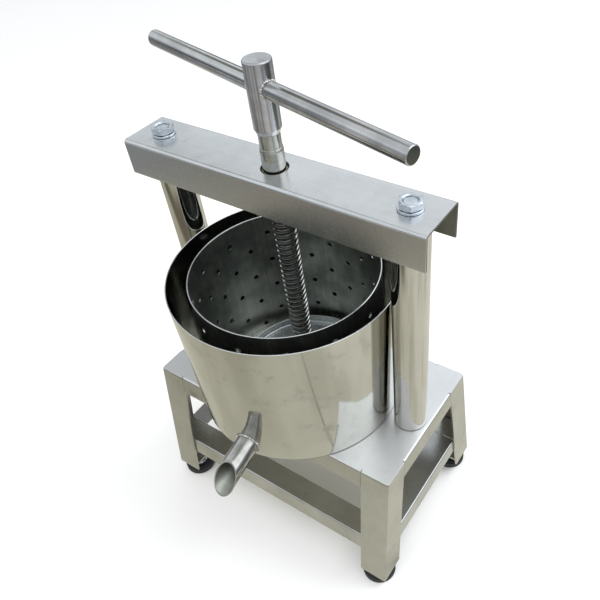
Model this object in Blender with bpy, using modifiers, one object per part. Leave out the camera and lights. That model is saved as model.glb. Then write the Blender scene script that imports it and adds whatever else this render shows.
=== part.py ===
"""Screw cheese press: a stainless steel bench press with a loose whey drum, a
perforated curd basket and a dished press plate on a hand-turned screw.

Metres, +Z up.  +X runs along the cross beam, -Y is the side of the spout, and
the origin is on the floor under the middle of the press's outer box.
"""
from math import copysign, cos, pi, radians, sin, tan

import bmesh
import bpy
from mathutils import Matrix, Vector

MM = 0.001
GAP = 0.3 * MM              # between pieces that touch

# Whole press
AXIS_Y = 44.2 * MM          # the screw's axis, behind the middle of the outer box
ROUND = 36                  # facets round a large turned piece
SMALL_ROUND = 20            # facets round a small turned piece
BORE_ROUND = 12             # facets round a fastener's bore and chamfer

# Base
TABLE_LENGTH = 402 * MM
TABLE_WIDTH = 214.6 * MM
TABLE_TOP = 234 * MM
SHEET = 2.5 * MM
APRON_DEPTH = 30.6 * MM
LEG_FLANGE = 42 * MM
LEG_BOTTOM = 18 * MM
SPLAY_X = 6.3 * MM          # how far a leg leans out over its whole height
SPLAY_Y = 30.5 * MM
RAIL_TOP = 93.2 * MM
RAIL_DEPTH = 28 * MM
RAIL_WIDTH = 35 * MM

# Levelling feet
FOOT_X = 184 * MM
FOOT_Y = 116 * MM
PAD_RADIUS = 24.5 * MM
PAD_HEIGHT = 13 * MM
POCKET_BOTTOM = 6 * MM
STUD_RADIUS = 5 * MM
STUD_TOP = 46 * MM
STUD_FLANGE_RADIUS = 13 * MM
STUD_FLANGE = 1.7 * MM
M10_FLATS = 17 * MM
STUD_HEX = 6.5 * MM
M10_NUT = 6 * MM
FOOT_PLATE = 3 * MM
FOOT_PLATE_SIDE = 37 * MM

# Posts and their tie rods
POST_X = 172.8 * MM
POST_RADIUS = 22.25 * MM
POST_WALL = 2 * MM
ROD_RADIUS = 8 * MM
ROD_REACH = 4 * MM          # how far a tie rod stands out of its lower nut
ROD_INSET = 1.8 * MM        # how far it ends below the top of its upper nut
M16_FLATS = 24 * MM
M16_NUT = 8 * MM            # thin nuts
WASHER_RADIUS = 14.4 * MM
WASHER = 2.5 * MM

# Cross beam, a channel that opens downwards
BEAM_LENGTH = 418 * MM
BEAM_WIDTH = 69 * MM
BEAM_HEIGHT = 45 * MM
BEAM_TOP = 579 * MM
BEAM_SHEET = 3 * MM
BEAM_HOLE_RADIUS = 16.5 * MM
NUT_BUSH_RADIUS = 22 * MM
NUT_BUSH_LENGTH = 36 * MM

# Screw, its head and the tommy bar
THREAD_RADIUS = 14 * MM
THREAD_TOP = 577 * MM
THREAD_BOTTOM = 268 * MM
COLLAR_RADIUS = 13.5 * MM
COLLAR_TOP = 602.4 * MM
NECK_RADIUS = 12.5 * MM
SPIGOT_RADIUS = 10 * MM
SPIGOT_TOP = 650 * MM
JOURNAL_RADIUS = 9 * MM
GROOVE_RADIUS = 7 * MM
GROOVE_TOP = 262 * MM
GROOVE_BOTTOM = 254 * MM
TIP_BOTTOM = 250.6 * MM
HEAD_RADIUS = 15.5 * MM
HEAD_BOTTOM = 622.5 * MM
HEAD_CHAMFER = 5.5 * MM
HEAD_TOP = 700.6 * MM
BAR_HEIGHT = 672 * MM
BAR_RADIUS = 9.5 * MM
BAR_LENGTH = 420 * MM
BAR_YAW = radians(-14)

# Whey drum
DRUM_Y = -13.4 * MM         # the drum stands a little in front of the screw's axis
DRUM_TOP_RADIUS = 149.5 * MM
DRUM_BOTTOM_RADIUS = 144.5 * MM
DRUM_RIM = 443.8 * MM
DRUM_WALL = 1.5 * MM
DRUM_FACETS = 72

# Spout
SPOUT_YAW = radians(6.5)    # the drum is turned this far, so its spout is too
SPOUT_TILT = radians(6.5)
SPOUT_RADIUS = 15.9 * MM
SPOUT_HEIGHT = 256.5 * MM   # its axis where it leaves the wall
SPOUT_START = 142.5 * MM    # from the drum's axis
SPOUT_END = 200.5 * MM      # from the drum's axis to the middle of its mouth
SPOUT_WALL = 1.5 * MM
MOUTH_ANGLE = radians(48)
MOUTH_BLOCK = 100 * MM      # the block that cuts the mouth

# Curd basket
BASKET_RADIUS = 122.6 * MM
BASKET_RIM = 443.2 * MM
BASKET_FACETS = 52          # every second facet has a column of holes
BASKET_FLOOR = 239 * MM
BASKET_YAW = radians(-1.4)  # how far the loose basket stands turned
HOLE_RADIUS = 3 * MM
HOLE_SIDES = 6
HOLE_PITCH = 47.4 * MM      # down a column
FIRST_HOLE = 28.5 * MM      # below the rim, in an even column
HOLES_IN_COLUMN = 4

# Press plate
PLATE_BOTTOM = 240.8 * MM
PLATE_RADIUS = 100 * MM
PLATE_SHEET = 2.5 * MM
PLATE_RIM = 13.4 * MM
PLATE_CORNER = 4 * MM
HUB_RADIUS = 23 * MM
HUB_TOP = 266 * MM
HUB_FLOOR = 247.5 * MM
GRUB_RADIUS = 3 * MM
GRUB_HEIGHT = 258 * MM
GRUB_OUTER = 22.5 * MM

parts = None
cutters = None


def new_collection(name):
    """A new collection in the scene."""
    found = bpy.data.collections.new(name)
    bpy.context.scene.collection.children.link(found)
    return found


def new_empty(name, location, parent=None):
    """An empty that others are parented to."""
    empty = bpy.data.objects.new(name, None)
    empty.location = location
    empty.parent = parent
    empty.empty_display_size = 20 * MM
    parts.objects.link(empty)
    return empty


def finish(obj, parent, colour, metallic, roughness):
    """Parent a piece, give it a material of its own and shade it."""
    mat = bpy.data.materials.new(obj.name)
    mat.use_nodes = True
    shader = mat.node_tree.nodes["Principled BSDF"]
    shader.inputs["Base Color"].default_value = (*colour, 1)
    shader.inputs["Metallic"].default_value = metallic
    shader.inputs["Roughness"].default_value = roughness
    obj.data.materials.clear()
    obj.data.materials.append(mat)
    obj.parent = parent
    obj.data.shade_smooth()
    obj.data.set_sharp_from_angle(angle=radians(30))
    return obj


SATIN = ((0.62, 0.63, 0.62), 1.0, 0.34)
POLISHED = ((0.66, 0.66, 0.64), 1.0, 0.14)
DULL = ((0.50, 0.50, 0.47), 1.0, 0.42)
DARK = ((0.40, 0.42, 0.40), 1.0, 0.30)
ZINC = ((0.62, 0.68, 0.73), 1.0, 0.26)
TURNED = ((0.58, 0.58, 0.56), 1.0, 0.22)
BRONZE = ((0.55, 0.38, 0.18), 1.0, 0.35)
RUBBER = ((0.02, 0.02, 0.022), 0.0, 0.70)


def mesh_object(name, bm, collection):
    """An object that holds what a bmesh holds."""
    mesh = bpy.data.meshes.new(name)
    bm.to_mesh(mesh)
    bm.free()
    obj = bpy.data.objects.new(name, mesh)
    collection.objects.link(obj)
    return obj


def turned(name, profile, facets, ring=False, collection=None):
    """A body turned about Z.  The profile runs down its outer side; a ring's closes."""
    bm = bmesh.new()
    points = [bm.verts.new((r, 0, z)) for r, z in profile]
    for first, second in zip(points, points[1:]):
        bm.edges.new((first, second))
    if ring:
        bm.edges.new((points[-1], points[0]))
    obj = mesh_object(name, bm, collection or parts)
    screw = obj.modifiers.new("Turn", 'SCREW')
    screw.axis = 'Z'
    screw.steps = facets
    screw.render_steps = facets
    screw.use_merge_vertices = True
    screw.merge_threshold = 0.01 * MM
    return obj


def rod(name, radius, bottom, top, facets=SMALL_ROUND, chamfer=0.0, collection=None):
    """A round bar along Z, with both ends chamfered if asked."""
    if chamfer:
        profile = [(0, top), (radius - chamfer, top), (radius, top - chamfer),
                   (radius, bottom + chamfer), (radius - chamfer, bottom), (0, bottom)]
    else:
        profile = [(0, top), (radius, top), (radius, bottom), (0, bottom)]
    return turned(name, profile, facets, collection=collection)


def tube(name, outer, inner, bottom, top, facets=SMALL_ROUND):
    """A round tube along Z."""
    profile = [(inner, top), (outer, top), (outer, bottom), (inner, bottom)]
    return turned(name, profile, facets, ring=True)


def cutter(obj):
    """Mark an object as a cutter."""
    obj.hide_render = True
    obj.display_type = 'WIRE'
    return obj


def boolean(obj, tool, operation='DIFFERENCE'):
    """Cut an object with a cutter."""
    mod = obj.modifiers.new(tool.name, 'BOOLEAN')
    mod.operation = operation
    mod.solver = 'EXACT'
    mod.object = tool
    return obj


def round_cutter(name, radius, bottom, top, parent, location=(0, 0, 0), facets=SMALL_ROUND):
    """A round cutter along Z."""
    tool = rod(name, radius, bottom, top, facets, collection=cutters)
    tool.location = location
    tool.parent = parent
    return cutter(tool)


def prism(name, outline, bottom, top, lean=(0, 0)):
    """An outline at the top, extruded down to the bottom and shifted by lean there."""
    bm = bmesh.new()
    face = bm.faces.new([bm.verts.new((x, y, top)) for x, y in outline])
    grown = bmesh.ops.extrude_face_region(bm, geom=[face])
    moved = [item for item in grown["geom"] if isinstance(item, bmesh.types.BMVert)]
    bmesh.ops.translate(bm, verts=moved, vec=(lean[0], lean[1], bottom - top))
    bmesh.ops.recalc_face_normals(bm, faces=bm.faces)
    return mesh_object(name, bm, parts)


def hex_nut(name, flats, height, bottom, bore, location, parent):
    """A hexagon nut with chamfered corners and a plain bore."""
    corner = flats / 2 / cos(pi / 6)
    nut = rod(name, corner, bottom, bottom + height, facets=6)
    nut.location = location
    chamfer = corner - flats / 2
    barrel = rod(name + "_barrel", corner + GAP, bottom, bottom + height,
                 facets=BORE_ROUND, chamfer=chamfer + GAP, collection=cutters)
    barrel.location = location
    barrel.parent = parent
    boolean(nut, cutter(barrel), 'INTERSECT')
    hole = round_cutter(name + "_bore", bore, bottom - MM, bottom + height + MM, parent,
                        location, BORE_ROUND)
    boolean(nut, hole)
    return nut


def lean_at(z):
    """How far a leg has leaned out at a height, along X and Y."""
    share = (TABLE_TOP - z) / (TABLE_TOP - LEG_BOTTOM)
    return SPLAY_X * share, SPLAY_Y * share


def make_table(axis):
    """The table top, one sheet with an apron folded down between the legs."""
    half_x = TABLE_LENGTH / 2
    half_y = TABLE_WIDTH / 2
    fold_x = half_x - LEG_FLANGE - GAP
    fold_y = half_y - LEG_FLANGE - GAP
    lean_x, lean_y = lean_at(TABLE_TOP - APRON_DEPTH)
    bm = bmesh.new()
    top = []
    for x, y in ((-half_x, -half_y), (-fold_x, -half_y), (fold_x, -half_y),
                 (half_x, -half_y), (half_x, -fold_y), (half_x, fold_y),
                 (half_x, half_y), (fold_x, half_y), (-fold_x, half_y),
                 (-half_x, half_y), (-half_x, fold_y), (-half_x, -fold_y)):
        top.append(bm.verts.new((x, y, TABLE_TOP)))
    bm.faces.new(top)
    for first in (1, 4, 7, 10):
        a, b = top[first], top[first + 1]
        low = []
        for corner in (b, a):
            shift = Vector((copysign(lean_x, corner.co.x), copysign(lean_y, corner.co.y),
                            -APRON_DEPTH))
            low.append(bm.verts.new(corner.co + shift))
        bm.faces.new((b, a, low[1], low[0]))
    table = mesh_object("table_top", bm, parts)
    wall = table.modifiers.new("Sheet", 'SOLIDIFY')
    wall.thickness = SHEET
    wall.offset = -1
    wall.solidify_mode = 'NON_MANIFOLD'
    wall.nonmanifold_thickness_mode = 'CONSTRAINTS'
    for side in (-1, 1):
        hole = round_cutter(f"table_hole_{side}", ROD_RADIUS + 2 * GAP,
                            TABLE_TOP - 2 * SHEET, TABLE_TOP + SHEET, axis,
                            (side * POST_X, 0, 0))
        boolean(table, hole)
    finish(table, axis, *SATIN)


def make_leg(name, sx, sy, axis):
    """One leg, an angle of folded sheet that leans outwards."""
    top = TABLE_TOP - SHEET - GAP
    lean_x, lean_y = lean_at(top)
    x = TABLE_LENGTH / 2 + lean_x
    y = TABLE_WIDTH / 2 + lean_y
    outline = [(x, y), (x - LEG_FLANGE, y), (x - LEG_FLANGE, y - SHEET),
               (x - SHEET, y - SHEET), (x - SHEET, y - LEG_FLANGE), (x, y - LEG_FLANGE)]
    outline = [(sx * px, sy * py) for px, py in outline]
    leg = prism(name, outline, LEG_BOTTOM, top,
                (sx * (SPLAY_X - lean_x), sy * (SPLAY_Y - lean_y)))
    finish(leg, axis, *DULL)


def make_rail(name, along, side, axis):
    """One lower rail, an angle whose outer flange leans with the legs."""
    low_x, low_y = lean_at(RAIL_TOP - RAIL_DEPTH)
    high_x, high_y = lean_at(RAIL_TOP)
    front = TABLE_WIDTH / 2 + high_y - SHEET - GAP
    flank = TABLE_LENGTH / 2 + high_x - SHEET - GAP
    inner_front = front - RAIL_WIDTH
    if along == 'X':
        face, slope, half = front, low_y - high_y, flank - MM
    else:
        face, slope, half = flank, low_x - high_x, inner_front - GAP
    section = [(face, RAIL_TOP), (face - RAIL_WIDTH, RAIL_TOP),
               (face - RAIL_WIDTH, RAIL_TOP - SHEET), (face - SHEET, RAIL_TOP - SHEET),
               (face + slope - SHEET, RAIL_TOP - RAIL_DEPTH),
               (face + slope, RAIL_TOP - RAIL_DEPTH)]
    bm = bmesh.new()
    if along == 'X':
        ends = [bm.verts.new((-half, side * across, z)) for across, z in section]
        reach = (2 * half, 0, 0)
    else:
        ends = [bm.verts.new((side * across, -half, z)) for across, z in section]
        reach = (0, 2 * half, 0)
    grown = bmesh.ops.extrude_face_region(bm, geom=[bm.faces.new(ends)])
    moved = [item for item in grown["geom"] if isinstance(item, bmesh.types.BMVert)]
    bmesh.ops.translate(bm, verts=moved, vec=reach)
    bmesh.ops.recalc_face_normals(bm, faces=bm.faces)
    rail = mesh_object(name, bm, parts)
    finish(rail, axis, *DULL)


def make_foot(name, sx, sy, axis):
    """A levelling foot: welded plate, lock nut, threaded stud and rubber pad."""
    place = (sx * FOOT_X, sy * FOOT_Y, 0)
    flange_top = PAD_HEIGHT + GAP + STUD_FLANGE
    hex_top = flange_top + STUD_HEX
    nut_bottom = hex_top + GAP
    plate_bottom = nut_bottom + M10_NUT + GAP
    lean_x, lean_y = lean_at(plate_bottom + FOOT_PLATE)
    outer_x = TABLE_LENGTH / 2 + lean_x - SHEET - 2 * GAP
    outer_y = TABLE_WIDTH / 2 + lean_y - SHEET - 2 * GAP
    outline = [(outer_x, outer_y), (outer_x - FOOT_PLATE_SIDE, outer_y),
               (outer_x - FOOT_PLATE_SIDE, outer_y - FOOT_PLATE_SIDE),
               (outer_x, outer_y - FOOT_PLATE_SIDE)]
    plate = prism(f"foot_plate_{name}", [(sx * x, sy * y) for x, y in outline],
                  plate_bottom, plate_bottom + FOOT_PLATE)
    hole = round_cutter(f"plate_hole_{name}", STUD_RADIUS + GAP, plate_bottom - MM,
                        plate_bottom + FOOT_PLATE + MM, axis, place)
    boolean(plate, hole)
    finish(plate, axis, *DULL)
    nut = hex_nut(f"lock_nut_{name}", M10_FLATS, M10_NUT, nut_bottom,
                  STUD_RADIUS + GAP, place, axis)
    finish(nut, axis, *ZINC)

    mover = new_empty(f"foot_travel_{name}", place, axis)
    stud = turned(f"foot_stud_{name}",
                  [(0, STUD_TOP), (STUD_RADIUS - MM, STUD_TOP),
                   (STUD_RADIUS, STUD_TOP - MM), (STUD_RADIUS, flange_top),
                   (STUD_FLANGE_RADIUS, flange_top),
                   (STUD_FLANGE_RADIUS, flange_top - STUD_FLANGE),
                   (STUD_RADIUS, flange_top - STUD_FLANGE),
                   (STUD_RADIUS, POCKET_BOTTOM + GAP), (0, POCKET_BOTTOM + GAP)],
                  BORE_ROUND)
    hexagon = rod(f"stud_hex_{name}", M10_FLATS / 2 / cos(pi / 6),
                  flange_top - STUD_FLANGE / 2, hex_top, facets=6, collection=cutters)
    hexagon.parent = mover
    boolean(stud, cutter(hexagon), 'UNION')
    finish(stud, mover, *ZINC)
    pocket = STUD_RADIUS + GAP
    pad = turned(f"rubber_foot_{name}",
                 [(0, POCKET_BOTTOM), (pocket, POCKET_BOTTOM), (pocket, PAD_HEIGHT),
                  (PAD_RADIUS - 3 * MM, PAD_HEIGHT), (PAD_RADIUS - MM, PAD_HEIGHT - MM),
                  (PAD_RADIUS, PAD_HEIGHT - 3 * MM), (PAD_RADIUS, 1.5 * MM),
                  (PAD_RADIUS - 1.5 * MM, 0), (0, 0)], SMALL_ROUND)
    finish(pad, mover, *RUBBER)


def make_base(axis):
    """Table, legs, lower rails and levelling feet."""
    make_table(axis)
    corners = {"front_left": (-1, -1), "front_right": (1, -1),
               "back_left": (-1, 1), "back_right": (1, 1)}
    for name, (sx, sy) in corners.items():
        make_leg(f"leg_{name}", sx, sy, axis)
        make_foot(name, sx, sy, axis)
    make_rail("lower_rail_front", 'X', -1, axis)
    make_rail("lower_rail_back", 'X', 1, axis)
    make_rail("lower_rail_left", 'Y', -1, axis)
    make_rail("lower_rail_right", 'Y', 1, axis)


def make_post(side_name, side, axis):
    """A post tube, the tie rod inside it and the rod's nuts and washers."""
    place = (side * POST_X, 0, 0)
    web = BEAM_TOP - BEAM_SHEET - GAP
    post = tube(f"post_{side_name}", POST_RADIUS, POST_RADIUS - POST_WALL,
                TABLE_TOP + GAP, web, ROUND)
    post.location = place
    finish(post, axis, *POLISHED)

    upper_washer = BEAM_TOP + GAP
    upper_nut = upper_washer + WASHER + GAP
    lower_washer = TABLE_TOP - SHEET - GAP - WASHER
    lower_nut = lower_washer - GAP - M16_NUT
    tie = rod(f"tie_rod_{side_name}", ROD_RADIUS, lower_nut - ROD_REACH,
              upper_nut + M16_NUT - ROD_INSET, chamfer=MM)
    tie.location = place
    finish(tie, axis, *ZINC)
    for level, washer_bottom, nut_bottom in (("upper", upper_washer, upper_nut),
                                             ("lower", lower_washer, lower_nut)):
        washer = tube(f"{level}_washer_{side_name}", WASHER_RADIUS, ROD_RADIUS + GAP,
                      washer_bottom, washer_bottom + WASHER)
        washer.location = place
        finish(washer, axis, *ZINC)
        nut = hex_nut(f"{level}_nut_{side_name}", M16_FLATS, M16_NUT, nut_bottom,
                      ROD_RADIUS + GAP, place, axis)
        finish(nut, axis, *ZINC)


def make_beam(axis):
    """The cross beam, and the nut that is welded under its web."""
    half = BEAM_WIDTH / 2
    foot = BEAM_TOP - BEAM_HEIGHT
    under = BEAM_TOP - BEAM_SHEET
    section = [(-half, BEAM_TOP), (half, BEAM_TOP), (half, foot), (half - BEAM_SHEET, foot),
               (half - BEAM_SHEET, under), (-half + BEAM_SHEET, under),
               (-half + BEAM_SHEET, foot), (-half, foot)]
    bm = bmesh.new()
    end = bm.faces.new([bm.verts.new((-BEAM_LENGTH / 2, y, z)) for y, z in section])
    grown = bmesh.ops.extrude_face_region(bm, geom=[end])
    moved = [item for item in grown["geom"] if isinstance(item, bmesh.types.BMVert)]
    bmesh.ops.translate(bm, verts=moved, vec=(BEAM_LENGTH, 0, 0))
    bmesh.ops.recalc_face_normals(bm, faces=bm.faces)
    beam = mesh_object("cross_beam", bm, parts)
    for side in (-1, 1):
        hole = round_cutter(f"beam_hole_{side}", ROD_RADIUS + 2 * GAP, under - MM,
                            BEAM_TOP + MM, axis, (side * POST_X, 0, 0))
        boolean(beam, hole)
    boolean(beam, round_cutter("beam_screw_hole", BEAM_HOLE_RADIUS, under - MM,
                               BEAM_TOP + MM, axis))
    finish(beam, axis, *SATIN)

    top = under - GAP
    bore = THREAD_RADIUS + GAP
    bottom = top - NUT_BUSH_LENGTH
    bush = turned("screw_nut", [(bore, top), (NUT_BUSH_RADIUS, top),
                                (NUT_BUSH_RADIUS, bottom + 2 * MM),
                                (NUT_BUSH_RADIUS - 2 * MM, bottom), (bore, bottom)],
                  SMALL_ROUND, ring=True)
    finish(bush, axis, *BRONZE)


def make_screw(turner):
    """The screw, the head on its spigot and the tommy bar through the head."""
    screw = turned("screw", [
        (0, SPIGOT_TOP - GAP), (SPIGOT_RADIUS, SPIGOT_TOP - GAP),
        (SPIGOT_RADIUS, HEAD_BOTTOM - GAP), (NECK_RADIUS, HEAD_BOTTOM - GAP),
        (NECK_RADIUS, COLLAR_TOP + MM), (COLLAR_RADIUS, COLLAR_TOP),
        (COLLAR_RADIUS, THREAD_TOP), (THREAD_RADIUS, THREAD_TOP - MM),
        (THREAD_RADIUS, THREAD_BOTTOM + 2 * MM), (THREAD_RADIUS - 2 * MM, THREAD_BOTTOM),
        (JOURNAL_RADIUS, THREAD_BOTTOM), (JOURNAL_RADIUS, GROOVE_TOP),
        (GROOVE_RADIUS, GROOVE_TOP), (GROOVE_RADIUS, GROOVE_BOTTOM),
        (JOURNAL_RADIUS, GROOVE_BOTTOM), (JOURNAL_RADIUS, TIP_BOTTOM + MM),
        (JOURNAL_RADIUS - MM, TIP_BOTTOM), (0, TIP_BOTTOM)], SMALL_ROUND)
    finish(screw, turner, *TURNED)

    socket = SPIGOT_RADIUS + GAP
    head = turned("screw_head", [
        (0, HEAD_TOP), (HEAD_RADIUS - 1.6 * MM, HEAD_TOP), (HEAD_RADIUS, HEAD_TOP - 1.6 * MM),
        (HEAD_RADIUS, HEAD_BOTTOM + HEAD_CHAMFER), (NECK_RADIUS + GAP, HEAD_BOTTOM),
        (socket, HEAD_BOTTOM), (socket, SPIGOT_TOP), (0, SPIGOT_TOP)], SMALL_ROUND)
    across = rod("head_cross_hole", BAR_RADIUS + GAP, -2 * HEAD_RADIUS, 2 * HEAD_RADIUS,
                 collection=cutters)
    across.rotation_euler = (0, pi / 2, BAR_YAW)
    across.location = (0, 0, BAR_HEIGHT)
    across.parent = turner
    boolean(head, cutter(across))
    finish(head, turner, *SATIN)

    bar = rod("tommy_bar", BAR_RADIUS, -BAR_LENGTH / 2, BAR_LENGTH / 2, chamfer=1.5 * MM)
    bar.rotation_euler = (0, pi / 2, BAR_YAW)
    bar.location = (0, 0, BAR_HEIGHT)
    finish(bar, turner, *POLISHED)


def make_plate(slider):
    """The dished press plate, its hub, and what holds the screw's tip in the hub."""
    floor = PLATE_BOTTOM + PLATE_SHEET
    rim = PLATE_BOTTOM + PLATE_RIM
    inner = PLATE_RADIUS - PLATE_SHEET
    corner = []
    for step in range(4):
        angle = step * pi / 6
        corner.append((PLATE_RADIUS - PLATE_CORNER * (1 - cos(angle)),
                       PLATE_BOTTOM + PLATE_CORNER * (1 - sin(angle))))
    plate = turned("press_plate", [(0, floor), (inner - PLATE_CORNER / 2, floor),
                                   (inner, floor + PLATE_CORNER / 2), (inner, rim),
                                   (PLATE_RADIUS, rim), *corner, (0, PLATE_BOTTOM)], ROUND)
    finish(plate, slider, *SATIN)

    bore = JOURNAL_RADIUS + GAP
    hub = turned("plate_hub", [
        (0, HUB_FLOOR), (bore, HUB_FLOOR), (bore, HUB_TOP), (HUB_RADIUS - 1.5 * MM, HUB_TOP),
        (HUB_RADIUS, HUB_TOP - 1.5 * MM), (HUB_RADIUS, floor + GAP), (0, floor + GAP)],
        SMALL_ROUND)
    for side in (-1, 1):
        hole = rod(f"grub_hole_{side}", GRUB_RADIUS + GAP, 5 * MM, HUB_RADIUS + MM, 12,
                   collection=cutters)
        hole.rotation_euler = (0, side * pi / 2, 0)
        hole.location = (0, 0, GRUB_HEIGHT)
        hole.parent = slider
        boolean(hub, cutter(hole))
    finish(hub, slider, *TURNED)

    pad = rod("thrust_pad", JOURNAL_RADIUS, HUB_FLOOR + GAP, TIP_BOTTOM - GAP)
    finish(pad, slider, *BRONZE)
    for name, side in (("left", -1), ("right", 1)):
        grub = rod(f"retaining_screw_{name}", GRUB_RADIUS, GROOVE_RADIUS + 2 * GAP,
                   GRUB_OUTER, 12, chamfer=0.5 * MM)
        grub.rotation_euler = (0, side * pi / 2, 0)
        grub.location = (0, 0, GRUB_HEIGHT)
        finish(grub, slider, *ZINC)


def drum_radius(z):
    """The drum wall's outer radius at a height."""
    share = (z - TABLE_TOP) / (DRUM_RIM - TABLE_TOP)
    return DRUM_BOTTOM_RADIUS + (DRUM_TOP_RADIUS - DRUM_BOTTOM_RADIUS) * share


def make_drum(drum):
    """The loose whey drum with its floor and its spout."""
    bottom = TABLE_TOP + GAP
    outer = drum_radius(bottom)
    wall = turned("drum_wall", [
        (DRUM_TOP_RADIUS - DRUM_WALL, DRUM_RIM), (DRUM_TOP_RADIUS, DRUM_RIM),
        (outer, bottom), (outer - DRUM_WALL, bottom)], DRUM_FACETS, ring=True)
    spout_axis = Matrix.Rotation(pi / 2 + SPOUT_TILT, 3, 'X')
    along = spout_axis @ Vector((0, 0, 1))
    root = Vector((0, -drum_radius(SPOUT_HEIGHT), SPOUT_HEIGHT))
    hole = rod("spout_hole", SPOUT_RADIUS + GAP, -20 * MM, 20 * MM, collection=cutters)
    hole.rotation_euler = (pi / 2 + SPOUT_TILT, 0, 0)
    hole.location = root
    hole.parent = drum
    boolean(wall, cutter(hole))
    finish(wall, drum, *POLISHED)

    floor = rod("drum_floor", outer - DRUM_WALL - GAP, bottom, bottom + DRUM_WALL,
                DRUM_FACETS)
    finish(floor, drum, *DARK)

    back = SPOUT_START + root.y
    front = SPOUT_END + root.y
    reach = SPOUT_RADIUS / tan(pi / 2 - MOUTH_ANGLE)
    spout = tube("spout", SPOUT_RADIUS, SPOUT_RADIUS - SPOUT_WALL, back, front + reach + MM)
    spout.rotation_euler = (pi / 2 + SPOUT_TILT, 0, 0)
    spout.location = root
    block = bmesh.new()
    bmesh.ops.create_cube(block, size=MOUTH_BLOCK)
    tool = mesh_object("mouth_cut", block, cutters)
    turn = Matrix.Rotation(pi / 2 + SPOUT_TILT - MOUTH_ANGLE, 3, 'X')
    tool.rotation_euler = turn.to_euler()
    tool.location = root + along * front + turn @ Vector((0, 0, MOUTH_BLOCK / 2))
    tool.parent = drum
    boolean(spout, cutter(tool))
    finish(spout, drum, *POLISHED)


def drill_floor(floor, rings, basket):
    """Cut rings of round holes in a disc, all with one cutter."""
    bm = bmesh.new()
    for radius, count in rings:
        for index in range(count):
            angle = 2 * pi * index / count
            place = Matrix.Translation((radius * cos(angle), radius * sin(angle),
                                        BASKET_FLOOR + DRUM_WALL / 2))
            bmesh.ops.create_cone(bm, cap_ends=True, segments=HOLE_SIDES,
                                  radius1=HOLE_RADIUS, radius2=HOLE_RADIUS,
                                  depth=4 * DRUM_WALL, matrix=place)
    tool = mesh_object("floor_drills", bm, cutters)
    tool.parent = basket
    boolean(floor, cutter(tool))


def make_basket(basket):
    """The perforated curd basket: a rolled wall and a drilled floor."""
    bottom = TABLE_TOP + 2 * GAP + DRUM_WALL
    inner = BASKET_RADIUS - DRUM_WALL
    wall = turned("basket_wall", [(inner, BASKET_RIM), (BASKET_RADIUS, BASKET_RIM),
                                  (BASKET_RADIUS, bottom), (inner, bottom)],
                  BASKET_FACETS, ring=True)
    columns = BASKET_FACETS // 2
    bm = bmesh.new()
    for column in range(columns):
        angle = 2 * pi * (2 * column + 0.5) / BASKET_FACETS
        drop = FIRST_HOLE + (HOLE_PITCH / 2 if column % 2 else 0)
        for row in range(HOLES_IN_COLUMN):
            place = (Matrix.Rotation(angle, 4, 'Z')
                     @ Matrix.Translation((BASKET_RADIUS, 0,
                                           BASKET_RIM - drop - row * HOLE_PITCH))
                     @ Matrix.Rotation(pi / 2, 4, 'Y'))
            bmesh.ops.create_cone(bm, cap_ends=True, segments=HOLE_SIDES,
                                  radius1=HOLE_RADIUS, radius2=HOLE_RADIUS,
                                  depth=6 * DRUM_WALL, matrix=place)
    tool = mesh_object("wall_drills", bm, cutters)
    tool.parent = basket
    boolean(wall, cutter(tool))
    finish(wall, basket, *DARK)
    floor = rod("basket_floor", inner - GAP, BASKET_FLOOR, BASKET_FLOOR + DRUM_WALL,
                BASKET_FACETS)
    drill_floor(floor, ((45 * MM, 8), (90 * MM, 16)), basket)
    finish(floor, basket, *DARK)


def main():
    """Build the press."""
    global parts, cutters
    for obj in list(bpy.data.objects):
        bpy.data.objects.remove(obj)
    parts = new_collection("cheese_press")
    cutters = new_collection("cutters")
    axis = new_empty("press_axis", (0, AXIS_Y, 0))
    slider = new_empty("plate_travel", (0, 0, 0), axis)
    turner = new_empty("screw_turn", (0, 0, 0), slider)
    drum = new_empty("drum_place", (0, DRUM_Y, 0), axis)
    drum.rotation_euler = (0, 0, SPOUT_YAW)
    basket = new_empty("basket_place", (0, DRUM_Y, 0), axis)
    basket.rotation_euler = (0, 0, BASKET_YAW)
    make_base(axis)
    for side_name, side in (("left", -1), ("right", 1)):
        make_post(side_name, side, axis)
    make_beam(axis)
    make_drum(drum)
    make_basket(basket)
    make_plate(slider)
    make_screw(turner)


main()
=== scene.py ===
"""The finished looks of the screw cheese press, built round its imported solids.

Folded sheets get rounded folds and softened edges, the screw gets its thread, the basket
its drilled holes, the joints their weld beads, and every piece a finish of its own.
Sizes are in millimetres in the classes below and turned into metres as pieces are made.
"""

import logging
import random
from collections.abc import Callable, Iterator, Sequence
from contextlib import contextmanager
from dataclasses import dataclass
from enum import Enum
from math import ceil, cos, hypot, pi, radians, sin, sqrt, tan
from typing import Any

import bmesh
import bpy
from mathutils import Euler, Matrix, Vector


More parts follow.
